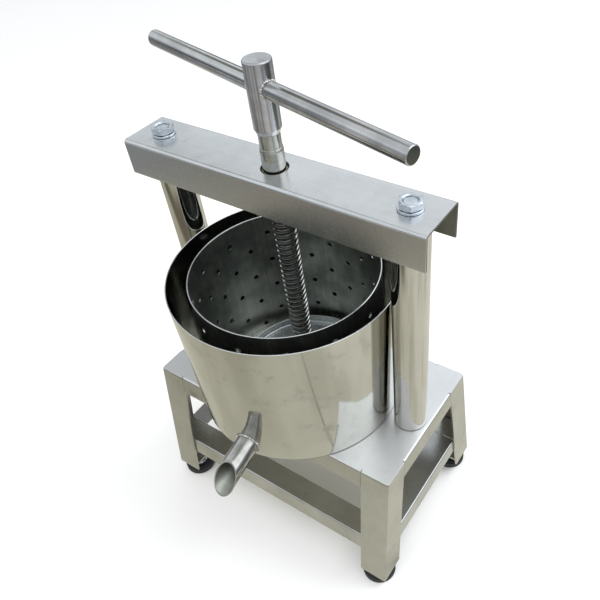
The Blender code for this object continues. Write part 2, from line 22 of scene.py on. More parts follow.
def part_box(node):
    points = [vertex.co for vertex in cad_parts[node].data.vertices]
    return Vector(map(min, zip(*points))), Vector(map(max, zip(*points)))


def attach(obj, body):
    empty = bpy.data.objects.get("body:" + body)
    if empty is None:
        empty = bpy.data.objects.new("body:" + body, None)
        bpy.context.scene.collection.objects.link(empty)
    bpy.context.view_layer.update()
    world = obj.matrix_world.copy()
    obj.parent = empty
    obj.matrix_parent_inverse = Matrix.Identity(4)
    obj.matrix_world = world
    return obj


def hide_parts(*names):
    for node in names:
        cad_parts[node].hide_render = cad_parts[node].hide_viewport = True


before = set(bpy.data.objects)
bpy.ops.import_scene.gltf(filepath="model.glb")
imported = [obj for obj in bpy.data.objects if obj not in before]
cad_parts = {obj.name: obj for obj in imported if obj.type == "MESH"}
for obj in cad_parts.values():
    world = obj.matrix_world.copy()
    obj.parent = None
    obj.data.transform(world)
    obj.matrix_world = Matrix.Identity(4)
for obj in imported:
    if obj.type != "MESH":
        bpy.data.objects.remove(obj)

MM = 0.001
WELD_MERGE = 1e-6       # how near doubled vertices lie, in metres
SHARP = radians(50)     # an edge sharper than this is softened
FINE = 64               # facets round a turned piece that shows
PUDDLE_FLAT = 0.62      # a weld puddle's height as a share of its width
PUDDLE_TILT = 0.35      # how far it may lean, in radians
PUDDLE_STRAY = 0.35     # how far it may stray, as a share of its unevenness
ORIGIN = Vector((0, 0, 0))
SIDES = (("left", -1), ("right", 1))
DEPTHS = (("front", -1), ("back", 1))
CORNERS = tuple((f"{depth}_{side}", sign_x, sign_y)
                for depth, sign_y in DEPTHS for side, sign_x in SIDES)
log = logging.getLogger("cheese_press")

Piece = bpy.types.Object
Corner = tuple[float, float, float]
Colour = tuple[float, float, float]
Triple = tuple[float, float, float]


class Element(Enum):
    """What is picked in edit mode."""

    VERT = "verts"
    EDGE = "edges"
    FACE = "faces"


class Grain(Enum):
    """Which way a steel's grain runs, as how often it changes along X, Y and Z."""

    ALONG_X = (12.0, 1500.0, 1500.0)
    ALONG_Y = (1500.0, 12.0, 1500.0)
    ALONG_Z = (1500.0, 1500.0, 9.0)
    AROUND = (14.0, 14.0, 1700.0)
    RINGS = (0.0, 0.0, 0.0)
    NONE = (700.0, 700.0, 700.0)


# ---------------------------------------------------------------- modelling


@contextmanager
def editing(piece: Piece) -> Iterator[None]:
    """Edit mode on one piece, with everything in it selected at the start.

    Args:
        piece: the mesh object to edit.
    """
    activate(piece)
    bpy.ops.object.mode_set(mode="EDIT")
    bpy.ops.mesh.select_all(action="SELECT")
    yield
    bpy.ops.object.mode_set(mode="OBJECT")


def activate(piece: Piece) -> None:
    """Select one piece and nothing else, and make it the active one.

    Args:
        piece: the piece.
    """
    bpy.ops.object.select_all(action="DESELECT")
    piece.select_set(True)
    bpy.context.view_layer.objects.active = piece


def started(kind: str, name: str, **settings: Any) -> Piece:
    """Start a piece from a primitive at the origin.

    Args:
        kind: which primitive.
        name: the piece's name.
        settings: the primitive's sizes by name.

    Returns:
        The piece, with nothing else selected.
    """
    bpy.ops.object.select_all(action="DESELECT")
    getattr(bpy.ops.mesh, f"primitive_{kind}_add")(location=(0, 0, 0), **settings)
    piece = bpy.context.object
    piece.name = piece.data.name = name
    return piece


def centre_of(element: Any) -> Vector:
    """The middle of a vertex, edge or face in edit mode.

    Args:
        element: the vertex, edge or face.

    Returns:
        Its middle in metres.
    """
    if isinstance(element, bmesh.types.BMVert):
        return element.co
    if isinstance(element, bmesh.types.BMEdge):
        return (element.verts[0].co + element.verts[1].co) / 2
    return element.calc_center_median()


def pick(piece: Piece, element: Element, keep: Callable[[Any], bool]) -> None:
    """Select, in edit mode, only what passes a test.

    Args:
        piece: the piece in edit mode.
        element: whether vertices, edges or faces are picked.
        keep: the test on one element.
    """
    bpy.ops.mesh.select_mode(type=element.name)
    bpy.ops.mesh.select_all(action="DESELECT")
    mesh = bmesh.from_edit_mesh(piece.data)
    for item in getattr(mesh, element.value):
        if keep(item):
            item.select_set(True)
    mesh.select_flush_mode()
    bmesh.update_edit_mesh(piece.data)


def face_outwards() -> None:
    """Merge doubles and turn all faces outwards, in edit mode."""
    bpy.ops.mesh.select_all(action="SELECT")
    bpy.ops.mesh.remove_doubles(threshold=WELD_MERGE)
    bpy.ops.mesh.normals_make_consistent(inside=False)


def eased(corners: Sequence[Corner], closed: bool, steps: int = 4) -> list[tuple[float, float]]:
    """Round off the corners of an outline.

    Args:
        corners: across, up and the corner's radius, in millimetres.
        closed: whether the last corner joins the first.
        steps: pieces in each rounded corner.

    Returns:
        The outline's points in millimetres.
    """
    points: list[tuple[float, float]] = []
    last = len(corners) - 1
    for index, (across, up, radius) in enumerate(corners):
        if radius <= 0 or (not closed and index in (0, last)):
            points.append((across, up))
            continue
        here = Vector((across, up))
        before = (Vector(corners[index - 1][:2]) - here).normalized()
        after = (Vector(corners[(index + 1) % len(corners)][:2]) - here).normalized()
        half = before.angle(after) / 2
        middle = here + (before + after).normalized() * (radius / sin(half))
        start = here + before * (radius / tan(half)) - middle
        end = here + after * (radius / tan(half)) - middle
        sweep = start.angle(end)
        for step in range(steps + 1):
            part = sweep * step / steps
            spoke = (start * sin(sweep - part) + end * sin(part)) / sin(sweep)
            points.append(tuple(middle + spoke))
    return points


def draw(name: str, points: Sequence[Triple], closed: bool) -> Piece:
    """Draw a line from point to point with a single vertex that is drawn out.

    Args:
        name: the piece's name.
        points: the line's points in metres.
        closed: whether the line ends where it began.

    Returns:
        The piece, a bare line.
    """
    piece = started("plane", name, size=MM, enter_editmode=True)
    bpy.ops.mesh.select_mode(type="VERT")
    bpy.ops.mesh.merge(type="CENTER")
    bpy.ops.transform.translate(value=points[0])
    stops = [*points, points[0]] if closed else list(points)
    for before, after in zip(stops, stops[1:]):
        pull(Vector(after) - Vector(before))
    bpy.ops.mesh.select_all(action="SELECT")
    bpy.ops.mesh.remove_doubles(threshold=WELD_MERGE)
    bpy.ops.object.mode_set(mode="OBJECT")
    return piece


def turned(name: str, profile: Sequence[Corner], centre: Vector, steps: int = 96,
           ring: bool = False) -> Piece:
    """Turn a profile about an upright axis.

    Args:
        name: the piece's name.
        profile: radius, height and corner radius in millimetres.
        centre: a point on the axis, in metres; its height isn't used.
        steps: facets round the axis.
        ring: whether the profile closes on itself.

    Returns:
        The turned piece.
    """
    points = [(centre.x + radius * MM, centre.y, height * MM)
              for radius, height in eased(profile, ring)]
    piece = draw(name, points, ring)
    with editing(piece):
        bpy.ops.mesh.spin(steps=steps, angle=2 * pi, center=(centre.x, centre.y, 0),
                          axis=(0, 0, 1))
        face_outwards()
    return piece


def prism(name: str, outline: Sequence[Triple], travel: Triple) -> Piece:
    """Fill an outline and draw it out straight.

    Args:
        name: the piece's name.
        outline: the outline's points in metres.
        travel: how far and which way it is drawn out, in metres.

    Returns:
        The closed piece.
    """
    piece = draw(name, outline, closed=True)
    with editing(piece):
        bpy.ops.mesh.edge_face_add()
        pull(travel)
        face_outwards()
    return piece


def pull(travel: Sequence[float]) -> None:
    """Extrude what is selected in edit mode, by a travel in metres."""
    bpy.ops.mesh.extrude_region_move(TRANSFORM_OT_translate={"value": tuple(travel)})


def upright(spot: Vector, height: float = 0.0) -> Matrix:
    """The move to a height in metres on the upright axis through a spot."""
    return Matrix.Translation((spot.x, spot.y, height))


def put(piece: Piece, matrix: Matrix) -> Piece:
    """Move a piece and work the move into its mesh.

    Args:
        piece: the piece, at the origin.
        matrix: where it goes.

    Returns:
        The same piece.
    """
    activate(piece)
    piece.matrix_world = matrix
    bpy.ops.object.transform_apply(location=True, rotation=True, scale=True)
    return piece


def copied(piece: Piece, name: str, matrix: Matrix) -> Piece:
    """Copy a piece with a mesh of its own and put the copy in place.

    Args:
        piece: the piece to copy.
        name: the copy's name.
        matrix: the move from the piece to the copy.

    Returns:
        The copy.
    """
    copy = piece.copy()
    copy.data = piece.data.copy()
    copy.name = copy.data.name = name
    bpy.context.scene.collection.objects.link(copy)
    put(copy, matrix)
    with editing(copy):
        face_outwards()
    return copy


def joined(name: str, pieces: Sequence[Piece]) -> Piece:
    """Join several pieces into one.

    Args:
        name: the joined piece's name.
        pieces: the pieces, the first of which is kept.

    Returns:
        The joined piece.
    """
    activate(pieces[0])
    for piece in pieces:
        piece.select_set(True)
    bpy.ops.object.join()
    pieces[0].name = pieces[0].data.name = name
    return pieces[0]


def modify(piece: Piece, kind: str, **settings: Any) -> None:
    """Add a modifier, set it up and apply it.

    Args:
        piece: the piece.
        kind: the modifier's type.
        settings: its settings by name.
    """
    activate(piece)
    bpy.ops.object.modifier_add(type=kind)
    modifier = piece.modifiers[-1]
    for name, value in settings.items():
        setattr(modifier, name, value)
    bpy.ops.object.modifier_apply(modifier=modifier.name)


def cut(piece: Piece, tool: Piece, operation: str = "DIFFERENCE") -> None:
    """Cut a piece with a tool, and put the tool away.

    Args:
        piece: the piece to cut.
        tool: the cutting solid, which is removed.
        operation: the boolean's operation.
    """
    modify(piece, "BOOLEAN", operation=operation, solver="EXACT", object=tool)
    bpy.data.objects.remove(tool)


def drill(radius: float, bottom: float, top: float, centre: Vector, steps: int = 48) -> Piece:
    """A round cutting tool with a pointed tip at each end.

    Args:
        radius: in millimetres.
        bottom: its lower end in millimetres.
        top: its upper end in millimetres.
        centre: a point on its axis in metres.
        steps: facets round it.

    Returns:
        The tool.
    """
    profile = [(0, bottom - radius, 0), (radius, bottom, 0), (radius, top, 0),
               (0, top + radius, 0)]
    return turned("drill", profile, centre, steps)


def soften(piece: Piece, width: float = 0.3, segments: int = 2) -> None:
    """Break the sharp edges of a piece.

    Args:
        piece: the piece.
        width: the bevel's width in millimetres.
        segments: its segments.
    """
    modify(piece, "BEVEL", width=width * MM, segments=segments, limit_method="ANGLE",
           angle_limit=SHARP)


def smooth(piece: Piece, angle: float = 38.0) -> None:
    """Shade a piece smooth up to an angle, with its flat faces kept flat.

    Args:
        piece: the piece.
        angle: the sharpest edge that is still shaded smooth, in degrees.
    """
    activate(piece)
    bpy.ops.object.shade_smooth_by_angle(angle=radians(angle))
    modify(piece, "WEIGHTED_NORMAL", keep_sharp=True, weight=80)


def threaded(name: str, major: float, minor: float, pitch: float, bottom: float, top: float,
             centre: Vector, steps: int = 40, ease: float = 0.0, broad: float = 0.34) -> Piece:
    """A right-handed thread, cut off square at both ends.

    Args:
        name: the piece's name.
        major: outer radius in millimetres.
        minor: root radius in millimetres.
        pitch: rise of one turn in millimetres.
        bottom: lower end in millimetres.
        top: upper end in millimetres.
        centre: a point on the axis in metres.
        steps: facets in one turn.
        ease: radius of the crest's edges in millimetres.
        broad: the crest's share of the pitch.

    Returns:
        The threaded piece.
    """
    crest = pitch * broad
    root = pitch * (0.74 - broad)
    flank = (pitch - crest - root) / 2
    start = bottom - 1.5 * pitch
    corners = [(major, start, 0), (major, start + crest, ease),
               (minor, start + crest + flank, ease), (minor, start + crest + flank + root, ease),
               (major, start + pitch, 0)]
    points = [(radius * MM, 0, height * MM) for radius, height in eased(corners, False, 2)]
    piece = draw(name, points, closed=False)
    turns = ceil((top - bottom) / pitch) + 3
    modify(piece, "SCREW", angle=2 * pi, screw_offset=pitch * MM, iterations=turns,
           steps=steps, render_steps=steps, use_merge_vertices=True,
           merge_threshold=WELD_MERGE)
    with editing(piece):
        bpy.ops.mesh.remove_doubles(threshold=WELD_MERGE)
        for height, side in ((bottom, -1), (top, 1)):
            bpy.ops.mesh.select_all(action="SELECT")
            bpy.ops.mesh.bisect(plane_co=(0, 0, height * MM), plane_no=(0, 0, side),
                                use_fill=True, clear_outer=True)
        face_outwards()
    return put(piece, upright(centre))


def middle(node: str) -> Vector:
    """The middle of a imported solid's box, in metres."""
    low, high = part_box(node)
    return (low + high) / 2


def bottom_of(node: str) -> float:
    """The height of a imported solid's underside, in millimetres."""
    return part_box(node)[0].z / MM


def top_of(node: str) -> float:
    """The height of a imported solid's top, in millimetres."""
    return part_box(node)[1].z / MM


def height_of(node: str) -> float:
    """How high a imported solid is, in millimetres."""
    return top_of(node) - bottom_of(node)


def radius_of(node: str) -> float:
    """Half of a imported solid's width along X, in millimetres."""
    low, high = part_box(node)
    return (high.x - low.x) / 2 / MM


# ---------------------------------------------------------------- finishes

SMUDGE_SIZE = 34.0          # smudges in a metre
SMUDGE_DARK = 0.22          # how much a full smudge darkens the steel
SMUDGE_DULL = 0.16          # how much it roughens it
GRAIN_DULL = 0.06           # how much the grain roughens it
SCRATCH_DULL = 0.10         # how much a scratch roughens it
SCRATCH_DEPTH = 0.003       # a scratch's depth in millimetres
STREAK_SHARE = 0.22         # how often streaks change, as a share of the grain
PIT_CELLS = 46.0            # places for a pit in a metre
PIT = (0.10, 0.09, 0.08)
# near black, painted as the contact shade where a post or the drum stands on the table
CONTACT_SHADE = (0.012, 0.011, 0.010)


class Wire:
    """One output of a node.  Sums on wires add their Math nodes."""

    def __init__(self, board: "Board", socket: bpy.types.NodeSocket) -> None:
        """Keep the socket and the board that it is on."""
        self.board = board
        self.socket = socket

    def sum(self, operation: str, first: "Wire | float", second: "Wire | float" = 0.0) -> "Wire":
        """Add a Math node.

        Args:
            operation: the node's operation.
            first: its first value.
            second: its second value.

        Returns:
            The node's output.
        """
        return self.board.add("ShaderNodeMath", {"operation": operation}, {0: first, 1: second})

    def __add__(self, other: "Wire | float") -> "Wire":
        """This plus another."""
        return self.sum("ADD", self, other)

    __radd__ = __add__

    def __sub__(self, other: "Wire | float") -> "Wire":
        """This less another."""
        return self.sum("SUBTRACT", self, other)

    def __rsub__(self, other: float) -> "Wire":
        """A number less this."""
        return self.sum("SUBTRACT", other, self)

    def __mul__(self, other: "Wire | float") -> "Wire":
        """This times another."""
        return self.sum("MULTIPLY", self, other)

    __rmul__ = __mul__

    def __abs__(self) -> "Wire":
        """This without its sign."""
        return self.sum("ABSOLUTE", self)

    def ramp(self, low: float, high: float) -> "Wire":
        """This, spread smoothly from 0 at low to 1 at high.

        Args:
            low: the value that becomes 0.
            high: the value that becomes 1.

        Returns:
            The spread value, kept between 0 and 1.
        """
        return self.board.add("ShaderNodeMapRange", {"interpolation_type": "SMOOTHSTEP"},
                              {0: self, 1: low, 2: high, 3: 0.0, 4: 1.0})


class Board:
    """The nodes of one material."""

    def __init__(self, name: str) -> None:
        """Start a material with one shader, and its place on the piece.

        Args:
            name: the material's name.
        """
        self.material = bpy.data.materials.new(name)
        self.material.use_nodes = True
        self.tree = self.material.node_tree
        self.shader = self.tree.nodes["Principled BSDF"]
        self.place = self.add("ShaderNodeTexCoord", output="Object")

    def add(self, kind: str, settings: dict[str, Any] | None = None,
            sockets: dict[int | str, Any] | None = None, output: int | str = 0) -> Wire:
        """Add a node.

        Args:
            kind: the node's type.
            settings: its settings, set first; "stops" are a ramp's.
            sockets: values or wires for its inputs.
            output: which output is wanted.

        Returns:
            That output.
        """
        node = self.tree.nodes.new(kind)
        for name, value in (settings or {}).items():
            if name == "stops":
                for index, (at, colour) in enumerate(value):
                    elements = node.color_ramp.elements
                    stop = elements[index] if index < len(elements) else elements.new(at)
                    stop.position = at
                    stop.color = (*colour, 1)
            else:
                setattr(node, name, value)
        for key, value in (sockets or {}).items():
            self.feed(node.inputs[key], value)
        return Wire(self, node.outputs[output])

    def feed(self, socket: bpy.types.NodeSocket, value: Any) -> None:
        """Link a wire to a socket, or set the socket's own value.

        Args:
            socket: the socket.
            value: a wire, a number or a colour.
        """
        if isinstance(value, Wire):
            self.tree.links.new(value.socket, socket)
        elif socket.type == "RGBA":
            socket.default_value = (*value, 1)
        else:
            socket.default_value = value

    def settle(self, **sockets: Any) -> bpy.types.Material:
        """Set the shader's sockets, with _ for a space in their names.

        Args:
            sockets: values or wires by name.

        Returns:
            The finished material.
        """
        for name, value in sockets.items():
            self.feed(self.shader.inputs[name.replace("_", " ")], value)
        return self.material

    def centred(self, centre: Triple, turn: Triple) -> Wire:
        """The place on the piece, seen from its own middle and along its own axes."""
        return self.add("ShaderNodeMapping", {"vector_type": "TEXTURE"},
                        {"Vector": self.place, "Location": centre, "Rotation": turn})

    def stretched(self, place: Wire, scale: Triple, shift: float = 0.0) -> Wire:
        """A place with a scale along each axis."""
        return self.add("ShaderNodeMapping", None, {"Vector": place, "Scale": scale,
                                                    "Location": (shift, shift, shift)})

    def split(self, place: Wire) -> tuple[Wire, ...]:
        """A place's three numbers."""
        node = self.add("ShaderNodeSeparateXYZ", None, {0: place}).socket.node
        return tuple(Wire(self, socket) for socket in node.outputs)

    def along(self, place: Wire, way: Triple) -> Wire:
        """How far a place lies along a direction."""
        return self.add("ShaderNodeVectorMath", {"operation": "DOT_PRODUCT"},
                        {0: place, 1: way}, 1)

    def direction(self, place: Wire) -> Wire:
        """A place's direction, one long."""
        return self.add("ShaderNodeVectorMath", {"operation": "NORMALIZE"}, {0: place})

    def noise(self, place: Wire, scale: float, detail: float = 3.0, rough: float = 0.55) -> Wire:
        """Even noise, as a number about 0.5.

        Args:
            place: where it is read.
            scale: how often it changes in a unit of place.
            detail: its octaves.
            rough: how strong the finer ones are.

        Returns:
            The noise.
        """
        return self.add("ShaderNodeTexNoise", {"noise_dimensions": "3D"},
                        {"Vector": place, "Scale": scale, "Detail": detail,
                         "Roughness": rough})

    def blend(self, share: Wire | float, first: Wire | Colour, second: Wire | Colour,
              mode: str = "MIX") -> Wire:
        """Mix two colours.

        Args:
            share: how much of the second.
            first: a colour.
            second: a colour.
            mode: how they are mixed.

        Returns:
            The mixed colour.
        """
        return self.add("ShaderNodeMix", {"data_type": "RGBA", "blend_type": mode},
                        {0: share, 6: first, 7: second}, 2)

    def relief(self, height: Wire, depth: float, under: Wire | None = None) -> Wire:
        """A bump.

        Args:
            height: the height, from 0 to 1.
            depth: how deep that is, in millimetres.
            under: the normal that it lies on.

        Returns:
            The normal.
        """
        sockets: dict[int | str, Any] = {"Height": height, "Distance": depth * MM,
                                         "Strength": 1.0}
        if under is not None:
            sockets["Normal"] = under
        return self.add("ShaderNodeBump", None, sockets)


@dataclass(frozen=True)
class Steel:
    """A steel sheet, tube or turned piece, with grain, clouds, smudges and scratches, and a
    painted contact shade at its foot where foot is set.
    """

    name: str
    tint: Colour = (0.60, 0.60, 0.58)
    shade: Colour = (0.48, 0.48, 0.46)
    rough: float = 0.25
    spread: float = 0.08
    grain: Grain = Grain.NONE
    grain_depth: float = 0.004
    streaks: float = 0.25
    clouds: float = 12.0
    waves: float = 0.05
    smudges: float = 0.3
    scratches: float = 0.4
    specks: float = 0.3
    metal: float = 1.0
    foot: float = -1.0

    def made(self, centre: Triple = (0, 0, 0), turn: Triple = (0, 0, 0)) -> bpy.types.Material:
        """Make the material.

        Args:
            centre: the piece's own middle.
            turn: how its grain is turned, as angles about X, Y and Z.

        Returns:
            The material.
        """
        board = Board(self.name)
        place = board.centred(centre, turn)
        if self.grain is Grain.RINGS:
            flat = board.add("ShaderNodeVectorMath", {"operation": "MULTIPLY"},
                             {0: place, 1: (1, 1, 0)})
            reach = board.add("ShaderNodeVectorMath", {"operation": "LENGTH"}, {0: flat}, 1)
            fine = board.add("ShaderNodeTexNoise", {"noise_dimensions": "1D"},
                             {"W": reach * 1600.0, "Scale": 1.0, "Detail": 3.0})
            broad = board.add("ShaderNodeTexNoise", {"noise_dimensions": "1D"},
                              {"W": reach * 240.0, "Scale": 1.0, "Detail": 2.0})
        else:
            fine = board.noise(board.stretched(place, self.grain.value), 1.0, 3.0)
            slow = tuple(step * STREAK_SHARE for step in self.grain.value)
            broad = board.noise(board.stretched(place, slow, 7.3), 1.0, 2.0)
        cloud = board.noise(place, self.clouds, 4.0, 0.6)
        smudge = board.noise(board.stretched(place, (1, 1, 1), 3.1), SMUDGE_SIZE, 5.0, 0.62)
        smudge = smudge.ramp(0.52, 0.74) * cloud.ramp(0.35, 0.65)
        lines = self.scratch(board, place, (6, 190, 160), (0.3, 0.5, 0.9))
        cross = self.scratch(board, place, (150, 7, 170), (0.6, -0.4, 0.35))
        scratch = (lines + cross) * cloud.ramp(0.4, 0.6)
        speck = self.dots(board, place)
        colour = board.blend(cloud.ramp(0.3, 0.7), self.tint, self.shade)
        darker = 1.0 - (broad - 0.5) * self.streaks - smudge * (SMUDGE_DARK * self.smudges)
        grey = board.add("ShaderNodeCombineColor", None, {0: darker, 1: darker, 2: darker})
        colour = board.blend(1.0, colour, grey, "MULTIPLY")
        colour = board.blend(speck * self.specks, colour, PIT)
        # Painted contact shade: a thin near-black band just above foot, where the piece stands on
        # the table.
        if self.foot > 0:
            height = board.split(board.place)[2]
            contact_shade = 1.0 - height.ramp((self.foot + 0.5) * MM, (self.foot + 1.7) * MM)
            colour = board.blend(contact_shade, colour, CONTACT_SHADE)
        rough = (self.rough + (cloud - 0.5) * self.spread + (fine - 0.5) * GRAIN_DULL
                 + smudge * (SMUDGE_DULL * self.smudges)
                 + scratch * (SCRATCH_DULL * self.scratches))
        normal = board.relief(board.noise(place, 9.0, 1.0), self.waves)
        normal = board.relief(fine, self.grain_depth, normal)
        normal = board.relief(1.0 - scratch, SCRATCH_DEPTH * self.scratches, normal)
        return board.settle(Base_Color=colour, Roughness=rough, Metallic=self.metal,
                            Normal=normal)

    @staticmethod
    def scratch(board: Board, place: Wire, scale: Triple, turn: Triple) -> Wire:
        """Fine stray scratches, mostly one way.

        Args:
            board: the material's nodes.
            place: the place on the piece.
            scale: how often they change along each axis.
            turn: the way they run.

        Returns:
            1 on a scratch and 0 off it.
        """
        turned_place = board.add("ShaderNodeMapping", None, {"Vector": place, "Rotation": turn})
        wave = board.noise(board.stretched(turned_place, scale), 1.0, 1.0)
        return 1.0 - abs(wave - 0.62).ramp(0.0, 0.006)

    @staticmethod
    def dots(board: Board, place: Wire) -> Wire:
        """Small scattered pits.

        Args:
            board: the material's nodes.
            place: the place on the piece.

        Returns:
            1 on a pit and 0 off it.
        """
        kind = {"feature": "F1"}
        cells = {"Vector": place, "Scale": PIT_CELLS}
        near = board.add("ShaderNodeTexVoronoi", kind, cells)
        which = board.add("ShaderNodeTexVoronoi", kind, cells, 1)
        chance = board.add("ShaderNodeSeparateColor", None, {0: which})
        return (1.0 - near.ramp(0.012, 0.035)) * chance.ramp(0.72, 0.78)


@dataclass(frozen=True)
class Zinc:
    """Bright zinc plate on fasteners, with spangle and a worn, bluish cast."""

    name: str = "bright_zinc"
    tint: Colour = (0.66, 0.71, 0.76)
    shade: Colour = (0.50, 0.54, 0.58)
    rough: float = 0.27

    def made(self) -> bpy.types.Material:
        """Make the material.

        Returns:
            The material.
        """
        board = Board(self.name)
        spangle = board.add("ShaderNodeTexVoronoi", {"feature": "F1"},
                            {"Vector": board.place, "Scale": 420.0}, 1)
        level = board.add("ShaderNodeSeparateColor", None, {0: spangle})
        cloud = board.noise(board.place, 140.0, 4.0)
        grain = board.noise(board.place, 2600.0, 3.0)
        colour = board.blend(cloud.ramp(0.35, 0.7), self.tint, self.shade)
        colour = board.blend(level * 0.12, colour, (0.74, 0.78, 0.82))
        rough = self.rough + level * 0.05 + (cloud - 0.5) * 0.14
        normal = board.relief(grain, 0.002)
        return board.settle(Base_Color=colour, Roughness=rough, Metallic=1.0, Normal=normal)


@dataclass(frozen=True)
class WeldMetal:
    """A weld bead, brighter on its ripples and tinted by its heat."""

    name: str = "weld_metal"
    tint: Colour = (0.62, 0.61, 0.58)
    heat: Colour = (0.22, 0.19, 0.15)
    rough: float = 0.24

    def made(self) -> bpy.types.Material:
        """Make the material.

        Returns:
            The material.
        """
        board = Board(self.name)
        cloud = board.noise(board.place, 210.0, 4.0)
        grain = board.noise(board.place, 1900.0, 3.0)
        colour = board.blend(cloud.ramp(0.45, 0.75), self.tint, self.heat)
        rough = self.rough + (cloud - 0.5) * 0.3
        return board.settle(Base_Color=colour, Roughness=rough, Metallic=1.0,
                            Normal=board.relief(grain, 0.02))


@dataclass(frozen=True)
class Rubber:
    """Moulded black rubber with dust on it."""

    name: str = "moulded_rubber"
    tint: Colour = (0.010, 0.010, 0.012)
    dust: Colour = (0.045, 0.044, 0.044)

    def made(self) -> bpy.types.Material:
        """Make the material.

        Returns:
            The material.
        """
        board = Board(self.name)
        cloud = board.noise(board.place, 90.0, 5.0, 0.65)
        grain = board.noise(board.place, 1500.0, 3.0)
        colour = board.blend(cloud.ramp(0.5, 0.85) * 0.6, self.tint, self.dust)
        rough = 0.48 + cloud * 0.3
        return board.settle(Base_Color=colour, Roughness=rough, Metallic=0.0,
                            Normal=board.relief(grain, 0.05))


@dataclass(frozen=True)
class Bronze:
    """Machined bronze with turning marks and a little tarnish."""

    name: str = "machined_bronze"
    tint: Colour = (0.26, 0.19, 0.11)
    tarnish: Colour = (0.12, 0.09, 0.06)

    def made(self) -> bpy.types.Material:
        """Make the material.

        Returns:
            The material.
        """
        board = Board(self.name)
        rings = board.noise(board.stretched(board.place, Grain.AROUND.value), 1.0)
        cloud = board.noise(board.place, 75.0, 4.0)
        colour = board.blend(cloud.ramp(0.4, 0.75), self.tint, self.tarnish)
        rough = 0.28 + cloud * 0.25
        return board.settle(Base_Color=colour, Roughness=rough, Metallic=1.0,
                            Normal=board.relief(rings, 0.008))


# The table's top takes a light, bluish tint and its aprons a darker, warmer one: painted light on
# the top and painted shade on the aprons of one sheet.
LIT_TABLE_SHEET = Steel(
    "table_sheet", (0.70, 0.71, 0.72), (0.65, 0.66, 0.67), rough=0.34, grain=Grain.ALONG_Y,
    grain_depth=0.003, streaks=0.10, clouds=9.0, waves=0.015, smudges=0.5, specks=0.5, metal=0.72)
SHADED_APRON_SHEET = Steel(
    "apron_sheet", (0.46, 0.455, 0.42), (0.41, 0.405, 0.37), rough=0.34, spread=0.10,
    grain_depth=0.008, streaks=0.14, clouds=13.0, waves=0.04, smudges=0.8, scratches=0.5,
    specks=0.4)
BEAM_SHEET = Steel(
    "beam_sheet", (0.69, 0.70, 0.705), (0.61, 0.62, 0.625), spread=0.10, grain=Grain.ALONG_X,
    streaks=0.10, clouds=11.0, waves=0.02, smudges=0.5, scratches=0.5, specks=0.9)
BASE_SHEET = Steel(
    "base_sheet", (0.50, 0.495, 0.46), (0.43, 0.425, 0.39), rough=0.36, spread=0.10,
    grain_depth=0.010, streaks=0.14, clouds=13.0, smudges=0.8, scratches=0.5, specks=0.4)
RAIL_SHEET = Steel(
    "rail_sheet", (0.52, 0.52, 0.50), (0.42, 0.42, 0.40), rough=0.24, spread=0.10,
    grain=Grain.ALONG_X, grain_depth=0.006, streaks=0.14, clouds=13.0, smudges=0.8, scratches=0.5,
    specks=0.4)
SIDE_RAIL_SHEET = Steel(
    "side_rail_sheet", (0.46, 0.47, 0.47), (0.38, 0.385, 0.38), rough=0.24, spread=0.10,
    grain=Grain.ALONG_Y, grain_depth=0.006, streaks=0.14, clouds=13.0, waves=0.03, smudges=0.8,
    scratches=0.5, specks=0.4)
DRUM_SHEET = Steel(
    "drum_sheet", (0.52, 0.515, 0.475), (0.485, 0.48, 0.44), rough=0.075, spread=0.05,
    grain=Grain.AROUND, grain_depth=0.0012, streaks=0.05, clouds=8.0, waves=0.08, smudges=1.0,
    scratches=0.9, specks=0.5, foot=234.3)
SPOUT_TUBE = Steel(
    "spout_tube", (0.54, 0.535, 0.51), (0.30, 0.295, 0.275), rough=0.12, spread=0.10,
    grain_depth=0.002, streaks=0.08, clouds=30.0, waves=0.03, smudges=0.9, scratches=0.7,
    specks=0.6)
SPOUT_BORE = Steel(
    "spout_bore", (0.46, 0.46, 0.41), (0.36, 0.36, 0.32), rough=0.50, spread=0.12,
    grain_depth=0.010, streaks=0.10, clouds=40.0, waves=0.02, smudges=0.9, specks=0.5)
POST_TUBE = Steel(
    "post_tube", (0.56, 0.55, 0.515), (0.51, 0.50, 0.465), rough=0.09, spread=0.05,
    grain=Grain.ALONG_Z, grain_depth=0.0012, streaks=0.06, clouds=9.0, waves=0.03, smudges=0.6,
    scratches=0.5, foot=234.2)
BASKET_SHEET = Steel(
    "basket_sheet", (0.56, 0.57, 0.53), (0.24, 0.255, 0.235), rough=0.32, spread=0.20,
    grain=Grain.ALONG_Z, grain_depth=0.008, streaks=0.55, clouds=16.0, waves=0.07, smudges=1.0,
    scratches=0.6, specks=0.7)
# Painted highlight: the top faces of the drum and basket rims are given a near-white tint.
RIM_HIGHLIGHT_STEEL = Steel(
    "rim_steel", (0.80, 0.81, 0.80), (0.70, 0.71, 0.70), rough=0.24, spread=0.10,
    grain=Grain.AROUND, grain_depth=0.002, streaks=0.10, clouds=30.0, waves=0.0, smudges=0.5,
    specks=0.5)
PLATE_SHEET = Steel(
    "plate_sheet", (0.55, 0.57, 0.57), (0.44, 0.46, 0.46), rough=0.26, spread=0.12,
    grain=Grain.RINGS, grain_depth=0.005, streaks=0.22, clouds=16.0, waves=0.03, smudges=0.8,
    scratches=0.5, specks=0.6)
THREAD_STEEL = Steel(
    "thread_steel", (0.50, 0.50, 0.47), (0.32, 0.32, 0.30), rough=0.20, spread=0.12,
    grain=Grain.AROUND, grain_depth=0.006, streaks=0.30, clouds=40.0, waves=0.0, smudges=0.6,
    scratches=0.3)
TURNED_STEEL = Steel(
    "turned_steel", (0.60, 0.60, 0.58), (0.46, 0.46, 0.44), rough=0.22, spread=0.10,
    grain=Grain.AROUND, grain_depth=0.009, streaks=0.26, clouds=30.0, waves=0.0, smudges=0.6,
    scratches=0.3)
